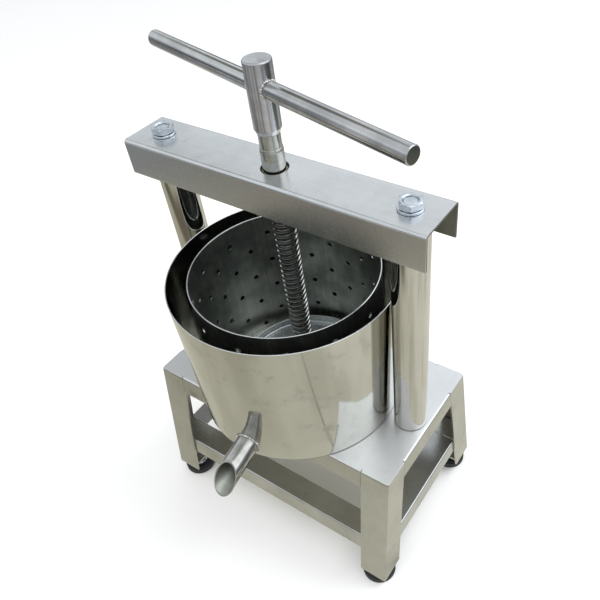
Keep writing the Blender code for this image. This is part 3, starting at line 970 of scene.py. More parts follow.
HEAD_STEEL = Steel(
    "head_steel", (0.55, 0.55, 0.56), (0.42, 0.42, 0.425), rough=0.22, spread=0.12,
    grain=Grain.ALONG_Z, grain_depth=0.005, streaks=0.20, clouds=34.0, waves=0.02, smudges=0.9,
    scratches=0.8, specks=0.6)
# Painted shade: the inside of the channel is given a much darker tint than the beam's outside.
BEAM_INSIDE_SHADE = Steel(
    "beam_inside", (0.27, 0.27, 0.24), (0.20, 0.20, 0.175), rough=0.46, spread=0.12,
    grain=Grain.ALONG_X, grain_depth=0.008, streaks=0.14, clouds=16.0, waves=0.03, smudges=0.8,
    scratches=0.3, specks=0.6)
BAR_END = Steel(
    "bar_end", (0.20, 0.215, 0.19), (0.13, 0.14, 0.12), rough=0.38, spread=0.12,
    grain_depth=0.012, streaks=0.20, clouds=60.0, waves=0.0, smudges=0.8, scratches=0.6,
    specks=0.6)
BAR_STEEL = Steel(
    "bar_steel", (0.58, 0.58, 0.575), (0.40, 0.40, 0.40), rough=0.17, spread=0.10,
    grain=Grain.ALONG_X, grain_depth=0.006, streaks=0.34, clouds=16.0, waves=0.01, smudges=0.8,
    scratches=0.8, specks=0.5)


def dress(piece: Piece, material: bpy.types.Material) -> None:
    """Give a piece one material, in its own slots if it has any.

    Args:
        piece: the piece.
        material: its material.
    """
    if piece.data.materials:
        for index in range(len(piece.data.materials)):
            piece.data.materials[index] = material
    else:
        piece.data.materials.append(material)


def face(piece: Piece, material: bpy.types.Material, keep: Callable[[Any], bool]) -> None:
    """Give some faces of a dressed piece a finish of their own.

    Args:
        piece: the piece.
        material: the finish.
        keep: which faces take it.
    """
    piece.data.materials.append(material)
    piece.active_material_index = len(piece.data.materials) - 1
    with editing(piece):
        pick(piece, Element.FACE, keep)
        bpy.ops.object.material_slot_assign()


def settle(piece: Piece, material: bpy.types.Material, body: str, slot: str,
           *nodes: str, angle: float = 38.0) -> Piece:
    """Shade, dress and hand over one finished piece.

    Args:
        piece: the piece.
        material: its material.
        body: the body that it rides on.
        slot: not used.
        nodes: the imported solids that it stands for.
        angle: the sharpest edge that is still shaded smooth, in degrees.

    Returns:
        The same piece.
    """
    smooth(piece, angle)
    dress(piece, material)
    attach(piece, body)
    if nodes:
        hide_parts(*nodes)
    log.info("%s rides on %s, %d faces", piece.name, body, len(piece.data.polygons))
    return piece


def redress(node: str, material: bpy.types.Material) -> None:
    """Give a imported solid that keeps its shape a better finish."""
    dress(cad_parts[node], material)
    log.info("%s keeps its shape", node)


def weld_bead(name: str, path: Sequence[Vector], width: float, body: str, slot: str,
              material: bpy.types.Material, chance: random.Random,
              uneven: float = 0.12) -> Piece:
    """A weld bead of small overlapping puddles along a path.

    Args:
        name: the bead's name.
        path: the middles of its puddles, in metres.
        width: its width in millimetres.
        body: the body that it rides on.
        slot: passed on to settle, which doesn't use it.
        material: its material.
        chance: where its small unevenness comes from.
        uneven: how much its puddles differ in size.

    Returns:
        The bead.
    """
    first = started("uv_sphere", "puddle", segments=10, ring_count=6, radius=width * MM / 2)
    with editing(first):
        bpy.ops.transform.resize(value=(1, 1, PUDDLE_FLAT))
    puddles = []
    for index, point in enumerate(path):
        turn = Euler((chance.uniform(-PUDDLE_TILT, PUDDLE_TILT),
                      chance.uniform(-PUDDLE_TILT, PUDDLE_TILT),
                      chance.uniform(0, pi))).to_matrix().to_4x4()
        size = Matrix.Scale(chance.uniform(1 - uneven, 1 + uneven), 4)
        stray = Vector([chance.uniform(-1, 1) * uneven * width * MM * PUDDLE_STRAY
                        for _ in range(3)])
        puddles.append(copied(first, f"{name}_{index}",
                              Matrix.Translation(point + stray) @ turn @ size))
    bpy.data.objects.remove(first)
    bead = joined(name, puddles)
    return settle(bead, material, body, slot, angle=60)


def circled(count: int) -> list[float]:
    """Angles evenly round a circle, in radians."""
    return [2 * pi * index / count for index in range(count)]


def along(start: Vector, end: Vector, pitch: float) -> list[Vector]:
    """Points from start to end, about a pitch in millimetres apart."""
    count = max(2, round((end - start).length / (pitch * MM)))
    return [start.lerp(end, index / count) for index in range(count + 1)]


# ---------------------------------------------------------------- sub-assemblies


@dataclass
class Fastener:
    """A hexagon nut with its washer, or a lock nut without one."""

    flats: float
    height: float
    bore: float
    sink: float = 1.3
    slope: float = 0.75

    @property
    def corner(self) -> float:
        """From the middle to a corner, in millimetres."""
        return self.flats / 2 / cos(pi / 6)

    def nut(self, name: str) -> Piece:
        """The nut, standing on the origin.

        Args:
            name: the nut's name.

        Returns:
            The nut, with its corners turned off and its bore countersunk.
        """
        outline = [(self.corner * MM * cos(angle), self.corner * MM * sin(angle), 0)
                   for angle in circled(6)]
        nut = prism(name, outline, (0, 0, self.height * MM))
        rise = (self.corner - self.flats / 2) * self.slope
        face_radius, outer = self.flats / 2 - 0.3, self.corner + 0.2
        barrel = turned("barrel", [
            (0, 0, 0), (face_radius, 0, 0), (outer, rise, 0), (outer, self.height - rise, 0),
            (face_radius, self.height, 0), (0, self.height, 0)], ORIGIN, 60)
        cut(nut, barrel, "INTERSECT")
        wide = self.bore + self.sink + 1
        cut(nut, turned("bore", [
            (0, -1, 0), (wide, -1, 0), (self.bore, self.sink, 0),
            (self.bore, self.height - self.sink, 0), (wide, self.height + 1, 0),
            (0, self.height + 1, 0)], ORIGIN, 40))
        soften(nut, 0.22)
        return nut

    @staticmethod
    def washer(name: str, radius: float, bore: float, thickness: float) -> Piece:
        """A washer, lying on the origin, with rounded edges."""
        return turned(name, [(bore, thickness, 0.3), (radius, thickness, 0.9), (radius, 0, 0.4),
                             (bore, 0, 0.3)], ORIGIN, FINE, ring=True)


@dataclass
class Base:
    """The table, its legs and its lower rails, all folded sheet."""

    sheet: float = 2.5
    gap: float = 0.3
    fold: float = 2.6
    corner: float = 4.0
    notch: float = 1.3
    apron: float = 30.6
    flange: float = 42.0
    leg_bottom: float = 18.0
    leg_fold: float = 1.8
    inner_fold: float = 0.8
    splay_x: float = 6.3
    splay_y: float = 30.5
    rail_width: float = 35.0
    rail_fold: float = 2.6
    rod_hole: float = 8.6
    edge: float = 0.25
    length: float = 402.0
    width: float = 214.6

    def __post_init__(self) -> None:
        """Take the table's height, its middle and the rails' heights from the solids."""
        self.top = top_of("table_top")
        self.y = middle("table_top").y
        self.rail_top = top_of("lower_rail_front")
        self.rail_bottom = bottom_of("lower_rail_front")

    def lean(self, height: float) -> tuple[float, float]:
        """How far the legs have leaned out at a height, along X and Y, in millimetres."""
        share = (self.top - height) / (self.top - self.leg_bottom)
        return self.splay_x * share, self.splay_y * share

    def build(self, chance: random.Random) -> None:
        """Build and dress the base.

        Args:
            chance: where the unevenness of its welds comes from.
        """
        self.table()
        self.legs()
        self.rails()
        self.seams(chance)

    def table(self) -> None:
        """The table top: its aprons are drawn down between relief notches and folded round."""
        half_x, half_y = self.length / 2, self.width / 2
        fold_x = half_x - self.flange - self.gap
        fold_y = half_y - self.flange - self.gap
        lean_x, lean_y = self.lean(self.top - self.apron)
        table = started("plane", "table_sheet", size=1)
        put(table, Matrix.Translation((0, self.y, self.top * MM))
            @ Matrix.Diagonal((self.length * MM, self.width * MM, 1, 1)))
        relief = self.fold + 0.8
        with editing(table):
            for axis, fold, half in ((0, fold_x, half_x), (1, fold_y, half_y)):
                for at in (fold, fold + self.notch, half - relief):
                    for side in (-1, 1):
                        point = Vector((0, self.y, self.top * MM))
                        point[axis] += side * at * MM
                        normal = [0.0, 0.0, 0.0]
                        normal[axis] = 1.0
                        bpy.ops.mesh.select_all(action="SELECT")
                        bpy.ops.mesh.bisect(plane_co=point, plane_no=normal)

            def in_notch(face: Any) -> bool:
                """Whether a face lies where a relief notch goes.

                Args:
                    face: the face.

                Returns:
                    Whether it does.
                """
                spot = face.calc_center_median()
                x, y = abs(spot.x) / MM, abs(spot.y - self.y) / MM
                ends = fold_x < x < fold_x + self.notch and y > half_y - relief
                return ends or (fold_y < y < fold_y + self.notch and x > half_x - relief)

            pick(table, Element.FACE, in_notch)
            bpy.ops.mesh.delete(type="FACE")
            for side in (-1, 1):
                for axis, half, fold, out, spread in ((1, half_y, fold_x, lean_y, lean_x),
                                                      (0, half_x, fold_y, lean_x, lean_y)):
                    offset = 0.0 if axis else self.y
                    pick(table, Element.EDGE, lambda edge: self.on_edge(edge, axis, side, half)
                         and abs(centre_of(edge)[1 - axis] - offset) < fold * MM)
                    travel = [0.0, 0.0, -self.apron * MM]
                    travel[axis] = side * out * MM
                    pull(travel)
                    scale = [1.0, 1.0, 1.0]
                    scale[1 - axis] = (fold + spread) / fold
                    bpy.ops.transform.resize(value=scale, center_override=(0, self.y, 0))
            pick(table, Element.EDGE, lambda edge: len(edge.link_faces) == 2
                 and edge.calc_face_angle(0) > SHARP)
            bpy.ops.mesh.bevel(offset=self.fold * MM, segments=5, affect="EDGES")
            pick(table, Element.VERT, lambda vert: abs(abs(vert.co.x) - half_x * MM) < WELD_MERGE
                 and abs(abs(vert.co.y - self.y) - half_y * MM) < WELD_MERGE)
            bpy.ops.mesh.bevel(offset=self.corner * MM, segments=5, affect="VERTICES")
            bpy.ops.mesh.select_all(action="SELECT")
            bpy.ops.mesh.normals_make_consistent(inside=False)
        if max(table.data.polygons, key=lambda face: face.area).normal.z < 0:
            table.data.flip_normals()
        modify(table, "SOLIDIFY", thickness=self.sheet * MM, offset=-1, use_even_offset=True)
        for side, _ in SIDES:
            rod = middle(f"tie_rod_{side}")
            cut(table, drill(self.rod_hole, self.top - 20, self.top + 20, rod))
        soften(table, self.edge)
        settle(table, LIT_TABLE_SHEET.made((0, self.y, 0)), "root", "table_sheet", "table_top")
        # Painted shade: faces below the top take the darker apron finish; the top keeps the
        # lighter one.
        edge = (self.top - 1.2) * MM
        face(table, SHADED_APRON_SHEET.made(), lambda side: centre_of(side).z < edge)

    def on_edge(self, edge: Any, axis: int, side: int, half: float) -> bool:
        """Whether an edge lies on one side of the table's outline.

        Args:
            edge: the edge.
            axis: 0 for the ends and 1 for the front and back.
            side: -1 or 1.
            half: from the middle to that side, in millimetres.

        Returns:
            Whether it does.
        """
        offset = self.y if axis else 0.0
        return all(abs((vert.co[axis] - offset) - side * half * MM) < WELD_MERGE
                   and abs(vert.co.z - self.top * MM) < WELD_MERGE for vert in edge.verts)

    def legs(self) -> None:
        """Four legs, each an angle that leans outwards."""
        top = self.top - self.sheet - self.gap / 2
        lean_x, lean_y = self.lean(top)
        x, y = self.length / 2 + lean_x, self.width / 2 + lean_y
        outline = eased([(x, y, self.leg_fold), (x - self.flange, y, 0),
                         (x - self.flange, y - self.sheet, 0),
                         (x - self.sheet, y - self.sheet, self.inner_fold),
                         (x - self.sheet, y - self.flange, 0), (x, y - self.flange, 0)], True, 3)
        points = [(across * MM, deep * MM, top * MM) for across, deep in outline]
        travel = ((self.splay_x - lean_x) * MM, (self.splay_y - lean_y) * MM,
                  (self.leg_bottom - top) * MM)
        leg = prism("leg", points, travel)
        soften(leg, self.edge)
        finish = BASE_SHEET.made()
        for corner, sign_x, sign_y in CORNERS:
            place = Matrix.Translation((0, self.y, 0)) @ Matrix.Diagonal((sign_x, sign_y, 1, 1))
            one = copied(leg, f"leg_sheet_{corner}", place)
            settle(one, finish, "root", "base_sheet", f"leg_{corner}")
            redress(f"foot_plate_{corner}", finish)
        bpy.data.objects.remove(leg)

    def rails(self) -> None:
        """The lower rails: the front and back ones run through, the side ones butt in."""
        low, high = self.lean(self.rail_bottom), self.lean(self.rail_top)
        front = self.width / 2 + high[1] - self.sheet - self.gap
        flank = self.length / 2 + high[0] - self.sheet - self.gap
        for axis, face, slope, half in (
                (0, front, low[1] - high[1], flank - 1),
                (1, flank, low[0] - high[0], front - self.rail_width - self.gap)):
            outline = eased([(face, self.rail_top, self.rail_fold),
                             (face - self.rail_width, self.rail_top, 0),
                             (face - self.rail_width, self.rail_top - self.sheet, 0),
                             (face - self.sheet, self.rail_top - self.sheet, 0.9),
                             (face + slope - self.sheet, self.rail_bottom, 0),
                             (face + slope, self.rail_bottom, 0)], True, 4)
            ends = []
            for across, up in outline:
                spot = [across * MM, across * MM, up * MM]
                spot[axis] = -half * MM
                ends.append(tuple(spot))
            travel = [0.0, 0.0, 0.0]
            travel[axis] = 2 * half * MM
            rail = prism("rail", ends, tuple(travel))
            soften(rail, self.edge)
            finish = (SIDE_RAIL_SHEET if axis else RAIL_SHEET).made()
            for side, sign in SIDES if axis else DEPTHS:
                flip = Matrix.Diagonal((sign, 1, 1, 1) if axis else (1, sign, 1, 1))
                one = copied(rail, f"rail_sheet_{side}",
                             Matrix.Translation((0, self.y, 0)) @ flip)
                settle(one, finish, "root", "base_sheet", f"lower_rail_{side}")
            bpy.data.objects.remove(rail)

    def seams(self, chance: random.Random) -> None:
        """Weld beads where the side rails meet the front and back ones.

        Args:
            chance: where the unevenness of its welds comes from.
        """
        metal = WeldMetal().made()
        high = self.lean(self.rail_top)
        inner = (self.width / 2 + high[1] - self.sheet - self.gap - self.rail_width) * MM
        outer = (self.length / 2 + high[0] - self.sheet - self.gap) * MM
        for corner, sign_x, sign_y in CORNERS:
            start, end = (Vector((sign_x * out, self.y + sign_y * inner, self.rail_top * MM))
                          for out in (outer - self.rail_width * MM, outer - 2 * MM))
            weld_bead(f"rail_weld_{corner}", along(start, end, 1.1), 2.0, "root", "base_sheet",
                      metal, chance)


@dataclass
class Feet:
    """The levelling feet: rubber pads, zinc studs and lock nuts."""

    stud_radius: float = 5.0
    flange_radius: float = 13.0
    flange: float = 1.7
    hexagon: float = 6.5
    flats: float = 17.0
    pitch: float = 1.5

    def build(self) -> None:
        """Build one foot of each kind and copy it to the corners."""
        name = "front_right"
        pad_top = top_of(f"rubber_foot_{name}")
        pad_radius = radius_of(f"rubber_foot_{name}")
        stud_top = top_of(f"foot_stud_{name}")
        stud_bottom = bottom_of(f"foot_stud_{name}")
        nut_bottom = bottom_of(f"lock_nut_{name}")
        nut_height = height_of(f"lock_nut_{name}")
        pocket = self.stud_radius + 0.3
        pad = turned("pad", [
            (0, stud_bottom - 0.3, 0), (pocket, stud_bottom - 0.3, 0), (pocket, pad_top, 0.4),
            (pad_radius - 4.5, pad_top, 1.0), (pad_radius - 3.5, pad_top - 1.2, 0.6),
            (pad_radius, pad_top - 2.6, 1.6), (pad_radius, pad_top - 8.2, 0.3),
            (pad_radius - 0.8, pad_top - 8.8, 0.3), (pad_radius - 0.8, pad_top - 9.8, 0.3),
            (pad_radius, pad_top - 10.4, 0.3), (pad_radius, 1.4, 0.3),
            (pad_radius - 1.4, 0, 0.5), (0, 0, 0)], ORIGIN, FINE)
        flange_top = pad_top + 0.3 + self.flange
        hex_top = flange_top + self.hexagon
        core = turned("stud", [
            (0, hex_top + 0.4, 0), (self.stud_radius - 0.4, hex_top + 0.4, 0),
            (self.stud_radius - 0.4, flange_top, 0), (self.flange_radius - 0.9, flange_top, 0.4),
            (self.flange_radius, flange_top - 0.8, 0.3),
            (self.flange_radius, flange_top - self.flange, 0.2),
            (self.stud_radius, flange_top - self.flange, 0),
            (self.stud_radius, stud_bottom, 0.5), (0, stud_bottom, 0)], ORIGIN, 48)
        grip = Fastener(self.flats, self.hexagon, self.stud_radius - 1).nut("grip")
        put(grip, Matrix.Translation((0, 0, flange_top * MM)))
        thread = threaded("thread", self.stud_radius, self.stud_radius - 0.8, self.pitch,
                          hex_top, stud_top - 0.6, ORIGIN, 28)
        tip = turned("tip", [(0, stud_top - 0.7, 0), (self.stud_radius - 0.5, stud_top - 0.7, 0),
                             (self.stud_radius - 1.1, stud_top, 0), (0, stud_top, 0)],
                     ORIGIN, 28)
        stud = joined("stud", [core, grip, thread, tip])
        nut = Fastener(self.flats, nut_height, self.stud_radius + 0.1).nut("nut")
        rubber, zinc = Rubber().made(), Zinc().made()
        for corner, _, _ in CORNERS:
            spot = middle(f"foot_stud_{corner}")
            place, raised = upright(spot), upright(spot, nut_bottom * MM)
            settle(copied(pad, f"pad_{corner}", place), rubber, f"foot_{corner}",
                   "foot_rubber", f"rubber_foot_{corner}")
            settle(copied(stud, f"stud_{corner}", place), zinc, f"foot_{corner}",
                   "zinc", f"foot_stud_{corner}")
            settle(copied(nut, f"stud_nut_{corner}", raised), zinc, "root",
                   "zinc", f"lock_nut_{corner}")
        for piece in (pad, stud, nut):
            bpy.data.objects.remove(piece)


@dataclass
class Posts:
    """The polished posts, with the tie rods, washers and nuts that hold them."""

    wall: float = 2.0
    flats: float = 24.0
    rod_radius: float = 8.0
    pitch: float = 2.0
    threaded_end: float = 24.0
    ease: float = 0.5

    def build(self) -> None:
        """Build and dress both posts."""
        zinc = Zinc().made()
        nut = Fastener(self.flats, height_of("upper_nut_left"), self.rod_radius + 0.15).nut("nut")
        ring = Fastener.washer("ring", radius_of("upper_washer_left"), self.rod_radius + 0.3,
                               height_of("upper_washer_left"))
        for side, _ in SIDES:
            axis = middle(f"post_{side}")
            self.post(side, axis)
            low, high = bottom_of(f"tie_rod_{side}"), top_of(f"tie_rod_{side}")
            shank = self.rod_radius - 1.0
            broad, narrow = self.rod_radius - 0.7, self.rod_radius - 1.3
            parts = [
                turned("shank", [(0, high - 20, 0), (shank, high - 20, 0), (shank, low + 20, 0),
                                 (0, low + 20, 0)], axis, 24),
                *(threaded("thread", self.rod_radius, self.rod_radius - 1.1, self.pitch,
                           start, stop, axis, 32)
                  for start, stop in ((high - self.threaded_end, high - 0.5),
                                      (low + 0.5, low + self.threaded_end))),
                turned("end", [(0, high - 0.6, 0), (broad, high - 0.6, 0), (narrow, high, 0),
                               (0, high, 0)], axis, 32),
                turned("tip", [(0, low, 0), (narrow, low, 0), (broad, low + 0.6, 0),
                               (0, low + 0.6, 0)], axis, 32)]
            settle(joined(f"rod_{side}", parts), zinc, "root", "zinc", f"tie_rod_{side}")
            for level in ("upper", "lower"):
                for kind, model in (("nut", nut), ("washer", ring)):
                    node = f"{level}_{kind}_{side}"
                    piece = copied(model, f"{level}_{kind}_piece_{side}",
                                   upright(axis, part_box(node)[0].z))
                    settle(piece, zinc, "root", "zinc", node)
        for piece in (nut, ring):
            bpy.data.objects.remove(piece)

    def post(self, side: str, axis: Vector) -> None:
        """One post tube.

        Args:
            side: left or right.
            axis: a point on its axis in metres.
        """
        node = f"post_{side}"
        low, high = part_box(node)
        radius = (high.y - low.y) / 2 / MM
        bore = radius - self.wall
        profile = [(across, up, self.ease)
                   for across, up in ((bore, high.z / MM), (radius, high.z / MM),
                                      (radius, low.z / MM), (bore, low.z / MM))]
        tube = turned(f"post_tube_{side}", profile, axis, 72, ring=True)
        settle(tube, POST_TUBE.made(tuple(axis)), "root", "post_tube", node)


@dataclass
class CrossBeam:
    """The channel across the posts, and the nut welded under it."""

    sheet: float = 3.0
    fold: float = 4.2
    inner_fold: float = 1.2
    hole: float = 16.5
    rod_hole: float = 8.6

    def build(self, chance: random.Random) -> None:
        """Build and dress the beam.

        Args:
            chance: where the unevenness of its welds comes from.
        """
        low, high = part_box("cross_beam")
        y, half = middle("cross_beam").y / MM, (high.y - low.y) / 2 / MM
        top, foot = high.z / MM, low.z / MM
        under = top - self.sheet
        outline = eased([(y - half, top, self.fold), (y + half, top, self.fold),
                         (y + half, foot, 0), (y + half - self.sheet, foot, 0),
                         (y + half - self.sheet, under, self.inner_fold),
                         (y - half + self.sheet, under, self.inner_fold),
                         (y - half + self.sheet, foot, 0), (y - half, foot, 0)], True, 5)
        ends = [(low.x, across * MM, up * MM) for across, up in outline]
        beam = prism("beam_sheet", ends, (high.x - low.x, 0, 0))
        for node, radius in (("screw", self.hole), ("tie_rod_left", self.rod_hole),
                             ("tie_rod_right", self.rod_hole)):
            spot = middle(node)
            cut(beam, drill(radius, under - 2, top + 2, spot, FINE))
        soften(beam, 0.35)
        settle(beam, BEAM_SHEET.made((0, y * MM, 0)), "root", "beam_sheet", "cross_beam")

        def inside(side: Any) -> bool:
            """Whether a face lies inside the channel.

            Args:
                side: the face.

            Returns:
                Whether it does.
            """
            spot = centre_of(side) / MM
            return abs(spot.y - y) < half - self.sheet / 2 and spot.z < top - self.sheet / 2

        # Painted shade: the faces inside the channel take the dark finish.
        face(beam, BEAM_INSIDE_SHADE.made(), inside)
        redress("screw_nut", Bronze().made())
        self.nut_welds(chance)

    def nut_welds(self, chance: random.Random) -> None:
        """The bead round the nut, where it meets the beam's web.

        Args:
            chance: where the unevenness of its welds comes from.
        """
        spot = middle("screw_nut")
        radius = (radius_of("screw_nut") + 0.2) * MM
        height = (top_of("screw_nut") - 0.6) * MM
        path = [Vector((spot.x + radius * cos(angle), spot.y + radius * sin(angle), height))
                for angle in circled(90)]
        weld_bead("nut_weld", path, 2.6, "root", "nut_bronze", WeldMetal().made(), chance)


@dataclass
class PressScrew:
    """The threaded screw, its head and the tommy bar through it."""

    major: float = 14.0
    minor: float = 11.2
    pitch: float = 8.0
    collar: float = 13.5
    neck: float = 12.5
    spigot: float = 10.0
    journal: float = 9.0
    groove: float = 7.0
    head: float = 15.5
    bar: float = 9.5
    bar_length: float = 420.0
    bar_yaw: float = radians(-14)
    thread_bottom: float = 268.0
    thread_top: float = 577.0
    collar_top: float = 602.4
    groove_top: float = 262.0
    groove_bottom: float = 254.0

    def build(self, chance: random.Random) -> None:
        """Build and dress the screw.

        Args:
            chance: where the unevenness of its welds comes from.
        """
        axis = middle("screw")
        self.shaft(axis)
        self.grip(axis, chance)

    def shaft(self, axis: Vector) -> None:
        """The screw itself: thread, collar, neck, spigot, journal and tip.

        Args:
            axis: a point on the screw's axis in metres.
        """
        bottom, top = bottom_of("screw"), top_of("screw")
        shoulder = bottom_of("screw_head") - 0.3
        thread = threaded("thread", self.major, self.minor, self.pitch, self.thread_bottom,
                          self.thread_top, axis, 48, 0.35, 0.5)
        upper = turned("upper", [
            (0, top, 0), (self.spigot, top, 0.5), (self.spigot, shoulder, 0),
            (self.neck, shoulder, 0.4), (self.neck, self.collar_top + 3.0, 0.6),
            (self.neck + 0.5, self.collar_top + 2.4, 0.3),
            (self.neck + 0.5, self.collar_top + 0.8, 0.3),
            (self.collar, self.collar_top - 0.4, 0.4), (self.collar, self.thread_top - 4, 0),
            (0, self.thread_top - 4, 0)], axis, FINE)
        lower = turned("lower", [
            (0, self.thread_bottom + 4, 0), (self.minor, self.thread_bottom + 4, 0),
            (self.minor, self.thread_bottom, 0.6), (self.journal, self.thread_bottom, 0),
            (self.journal, self.groove_top, 0.3), (self.groove, self.groove_top, 0.6),
            (self.groove, self.groove_bottom, 0.6), (self.journal, self.groove_bottom, 0.3),
            (self.journal, bottom + 1, 0.3), (self.journal - 1, bottom, 0.3),
            (0, bottom, 0)], axis, FINE)
        screw = joined("screw_shaft", [thread, upper, lower])
        settle(screw, THREAD_STEEL.made(tuple(axis)), "screw", "screw_steel", "screw")

    def grip(self, axis: Vector, chance: random.Random) -> None:
        """The head with its cross hole, the tommy bar and the welds that hold it.

        Args:
            axis: a point on the screw's axis in metres.
            chance: where the unevenness of its welds comes from.
        """
        low, high = bottom_of("screw_head"), top_of("screw_head")
        top = top_of("screw")
        socket = self.spigot + 0.3
        head = turned("head_barrel", [
            (0, high, 0), (self.head, high, 2.0), (self.head, low + 5.5, 1.2),
            (self.neck + 0.3, low, 0.5), (socket, low, 0), (socket, top + 0.3, 0),
            (0, top + 0.3, 0)], axis, 72)
        bar_z = middle("tommy_bar").z
        lie = upright(axis, bar_z) @ Euler((0, pi / 2, self.bar_yaw)).to_matrix().to_4x4()
        cut(head, put(drill(self.bar + 0.2, -30, 30, ORIGIN, FINE), lie))
        soften(head, 0.4)
        settle(head, HEAD_STEEL.made(tuple(axis)), "screw", "head_steel", "screw_head")
        half = self.bar_length / 2
        bar = put(turned("bar_rod", [(0, half, 0), (self.bar, half, 1.5), (self.bar, -half, 1.5),
                                     (0, -half, 0)], ORIGIN, FINE), lie)
        turn = (0.0, 0.0, self.bar_yaw)
        settle(bar, BAR_STEEL.made((axis.x, axis.y, bar_z), turn), "screw", "bar_steel",
               "tommy_bar")
        way = lie.to_3x3() @ Vector((0, 0, 1))
        face(bar, BAR_END.made(), lambda side: abs(side.normal.dot(way)) > 0.99)
        metal = WeldMetal().made()
        for name, side in SIDES:
            path = []
            for angle in circled(46):
                lift = (self.bar + 0.4) * sin(angle)
                deep = (self.bar + 0.4) * cos(angle)
                out = sqrt(self.head ** 2 - deep ** 2)
                path.append(lie @ Vector((lift * MM, deep * MM, side * out * MM)))
            weld_bead(f"bar_weld_{name}", path, 3.4, "screw", "head_steel", metal, chance, 0.45)


@dataclass
class WheyDrum:
    """The loose drum that catches the whey, with its spout."""

    wall: float = 1.5
    top_radius: float = 149.5
    bottom_radius: float = 144.5
    table_top: float = 234.0
    yaw: float = radians(6.5)
    tilt: float = radians(6.5)
    spout_radius: float = 15.9
    spout_wall: float = 1.5
    spout_height: float = 256.5
    spout_start: float = 142.5
    spout_end: float = 200.5
    mouth: float = radians(48)

    def __post_init__(self) -> None:
        """Take the drum's axis and rim from its solids."""
        self.axis = middle("drum_floor")
        self.rim = top_of("drum_wall")
        self.foot = bottom_of("drum_wall")
        self.turn = upright(self.axis) @ Matrix.Rotation(self.yaw, 4, "Z")

    def radius(self, height: float) -> float:
        """The wall's outer radius at a height, in millimetres."""
        share = (height - self.table_top) / (self.rim - self.table_top)
        return self.bottom_radius + (self.top_radius - self.bottom_radius) * share

    def build(self, chance: random.Random) -> None:
        """Build and dress the drum.

        Args:
            chance: where the unevenness of its welds comes from.
        """
        low = self.radius(self.foot)
        wall = turned("drum_shell", [
            (self.top_radius - self.wall, self.rim, 0.6), (self.top_radius, self.rim, 0.6),
            (low, self.foot, 0.8), (low - self.wall, self.foot, 0.3)], self.axis, 160, ring=True)
        root = Vector((0, -self.radius(self.spout_height) * MM, self.spout_height * MM))
        lie = self.turn @ Matrix.Translation(root) @ Matrix.Rotation(pi / 2 + self.tilt, 4, "X")
        cut(wall, put(drill(self.spout_radius + 0.2, -12, 12, ORIGIN, FINE), lie))
        finish = DRUM_SHEET.made((self.axis.x, self.axis.y, 0))
        settle(wall, finish, "root", "drum_sheet", "drum_wall")
        edge = (self.rim - 0.7) * MM
        # Painted highlight: the rim's top faces take a near-white finish.
        face(wall, RIM_HIGHLIGHT_STEEL.made(), lambda side: centre_of(side).z > edge)
        redress("drum_floor", BASKET_SHEET.made((self.axis.x, self.axis.y, 0)))
        self.spout(root, lie)
        self.ring_weld(lie, chance)
        self.wall_weld(chance)

    def spout(self, root: Vector, lie: Matrix) -> None:
        """The spout, cut off at a slant.

        Args:
            root: where its axis leaves the wall, in the drum's own frame.
            lie: from a tube along Z to its place.
        """
        back = self.spout_start + root.y / MM
        front = self.spout_end + root.y / MM
        reach = self.spout_radius * tan(self.mouth)
        inner = self.spout_radius - self.spout_wall
        tube = turned("spout_tube", [
            (inner, front + reach + 1, 0), (self.spout_radius, front + reach + 1, 0),
            (self.spout_radius, back, 0.3), (inner, back, 0.3)], ORIGIN, 72, ring=True)
        half = 50 * MM
        block = started("cube", "block", size=2 * half)
        slant = (Matrix.Translation((0, 0, front * MM)) @ Matrix.Rotation(-self.mouth, 4, "X")
                 @ Matrix.Translation((0, 0, half)))
        cut(tube, put(block, slant))
        soften(tube, 0.45, 3)
        put(tube, lie)
        settle(tube, SPOUT_TUBE.made(tuple(lie.translation)), "root", "spout_tube", "spout")
        bore = (self.spout_radius - self.spout_wall * 0.7) * MM
        back_to_tube = lie.inverted()

        def inside(side: Any) -> bool:
            """Whether a face lies in the bore.

            Args:
                side: the face.

            Returns:
                Whether it does.
            """
            spot = back_to_tube @ centre_of(side)
            return hypot(spot.x, spot.y) < bore

        face(tube, SPOUT_BORE.made(), inside)

    def ring_weld(self, lie: Matrix, chance: random.Random) -> None:
        """The bead round the spout's root, on the drum's wall.

        Args:
            lie: from a tube along Z to the spout's place.
            chance: where the unevenness of its welds comes from.
        """
        path = []
        ring = (self.spout_radius + 0.5) * MM
        for angle in circled(84):
            reach = 0.0
            for _ in range(6):
                point = lie @ Vector((ring * cos(angle), ring * sin(angle), reach))
                away = hypot(point.x - self.axis.x, point.y - self.axis.y)
                reach += self.radius(point.z / MM) * MM - away
            path.append(point)
        weld_bead("spout_weld", path, 3.6, "root", "spout_tube", WeldMetal().made(), chance, 0.42)

    def wall_weld(self, chance: random.Random) -> None:
        """The flat-ground bead where the drum's sheet meets itself.

        Args:
            chance: where the unevenness of its welds comes from.
        """
        angle = radians(158)
        points = []
        for height in (self.foot + 1.5, self.rim - 1.5):
            out = (self.radius(height) - 0.55) * MM
            points.append(Vector((self.axis.x + out * cos(angle), self.axis.y + out * sin(angle),
                                  height * MM)))
        weld_bead("drum_weld", along(points[0], points[1], 1.2), 2.0, "root", "drum_sheet",
                  WeldMetal().made(), chance)


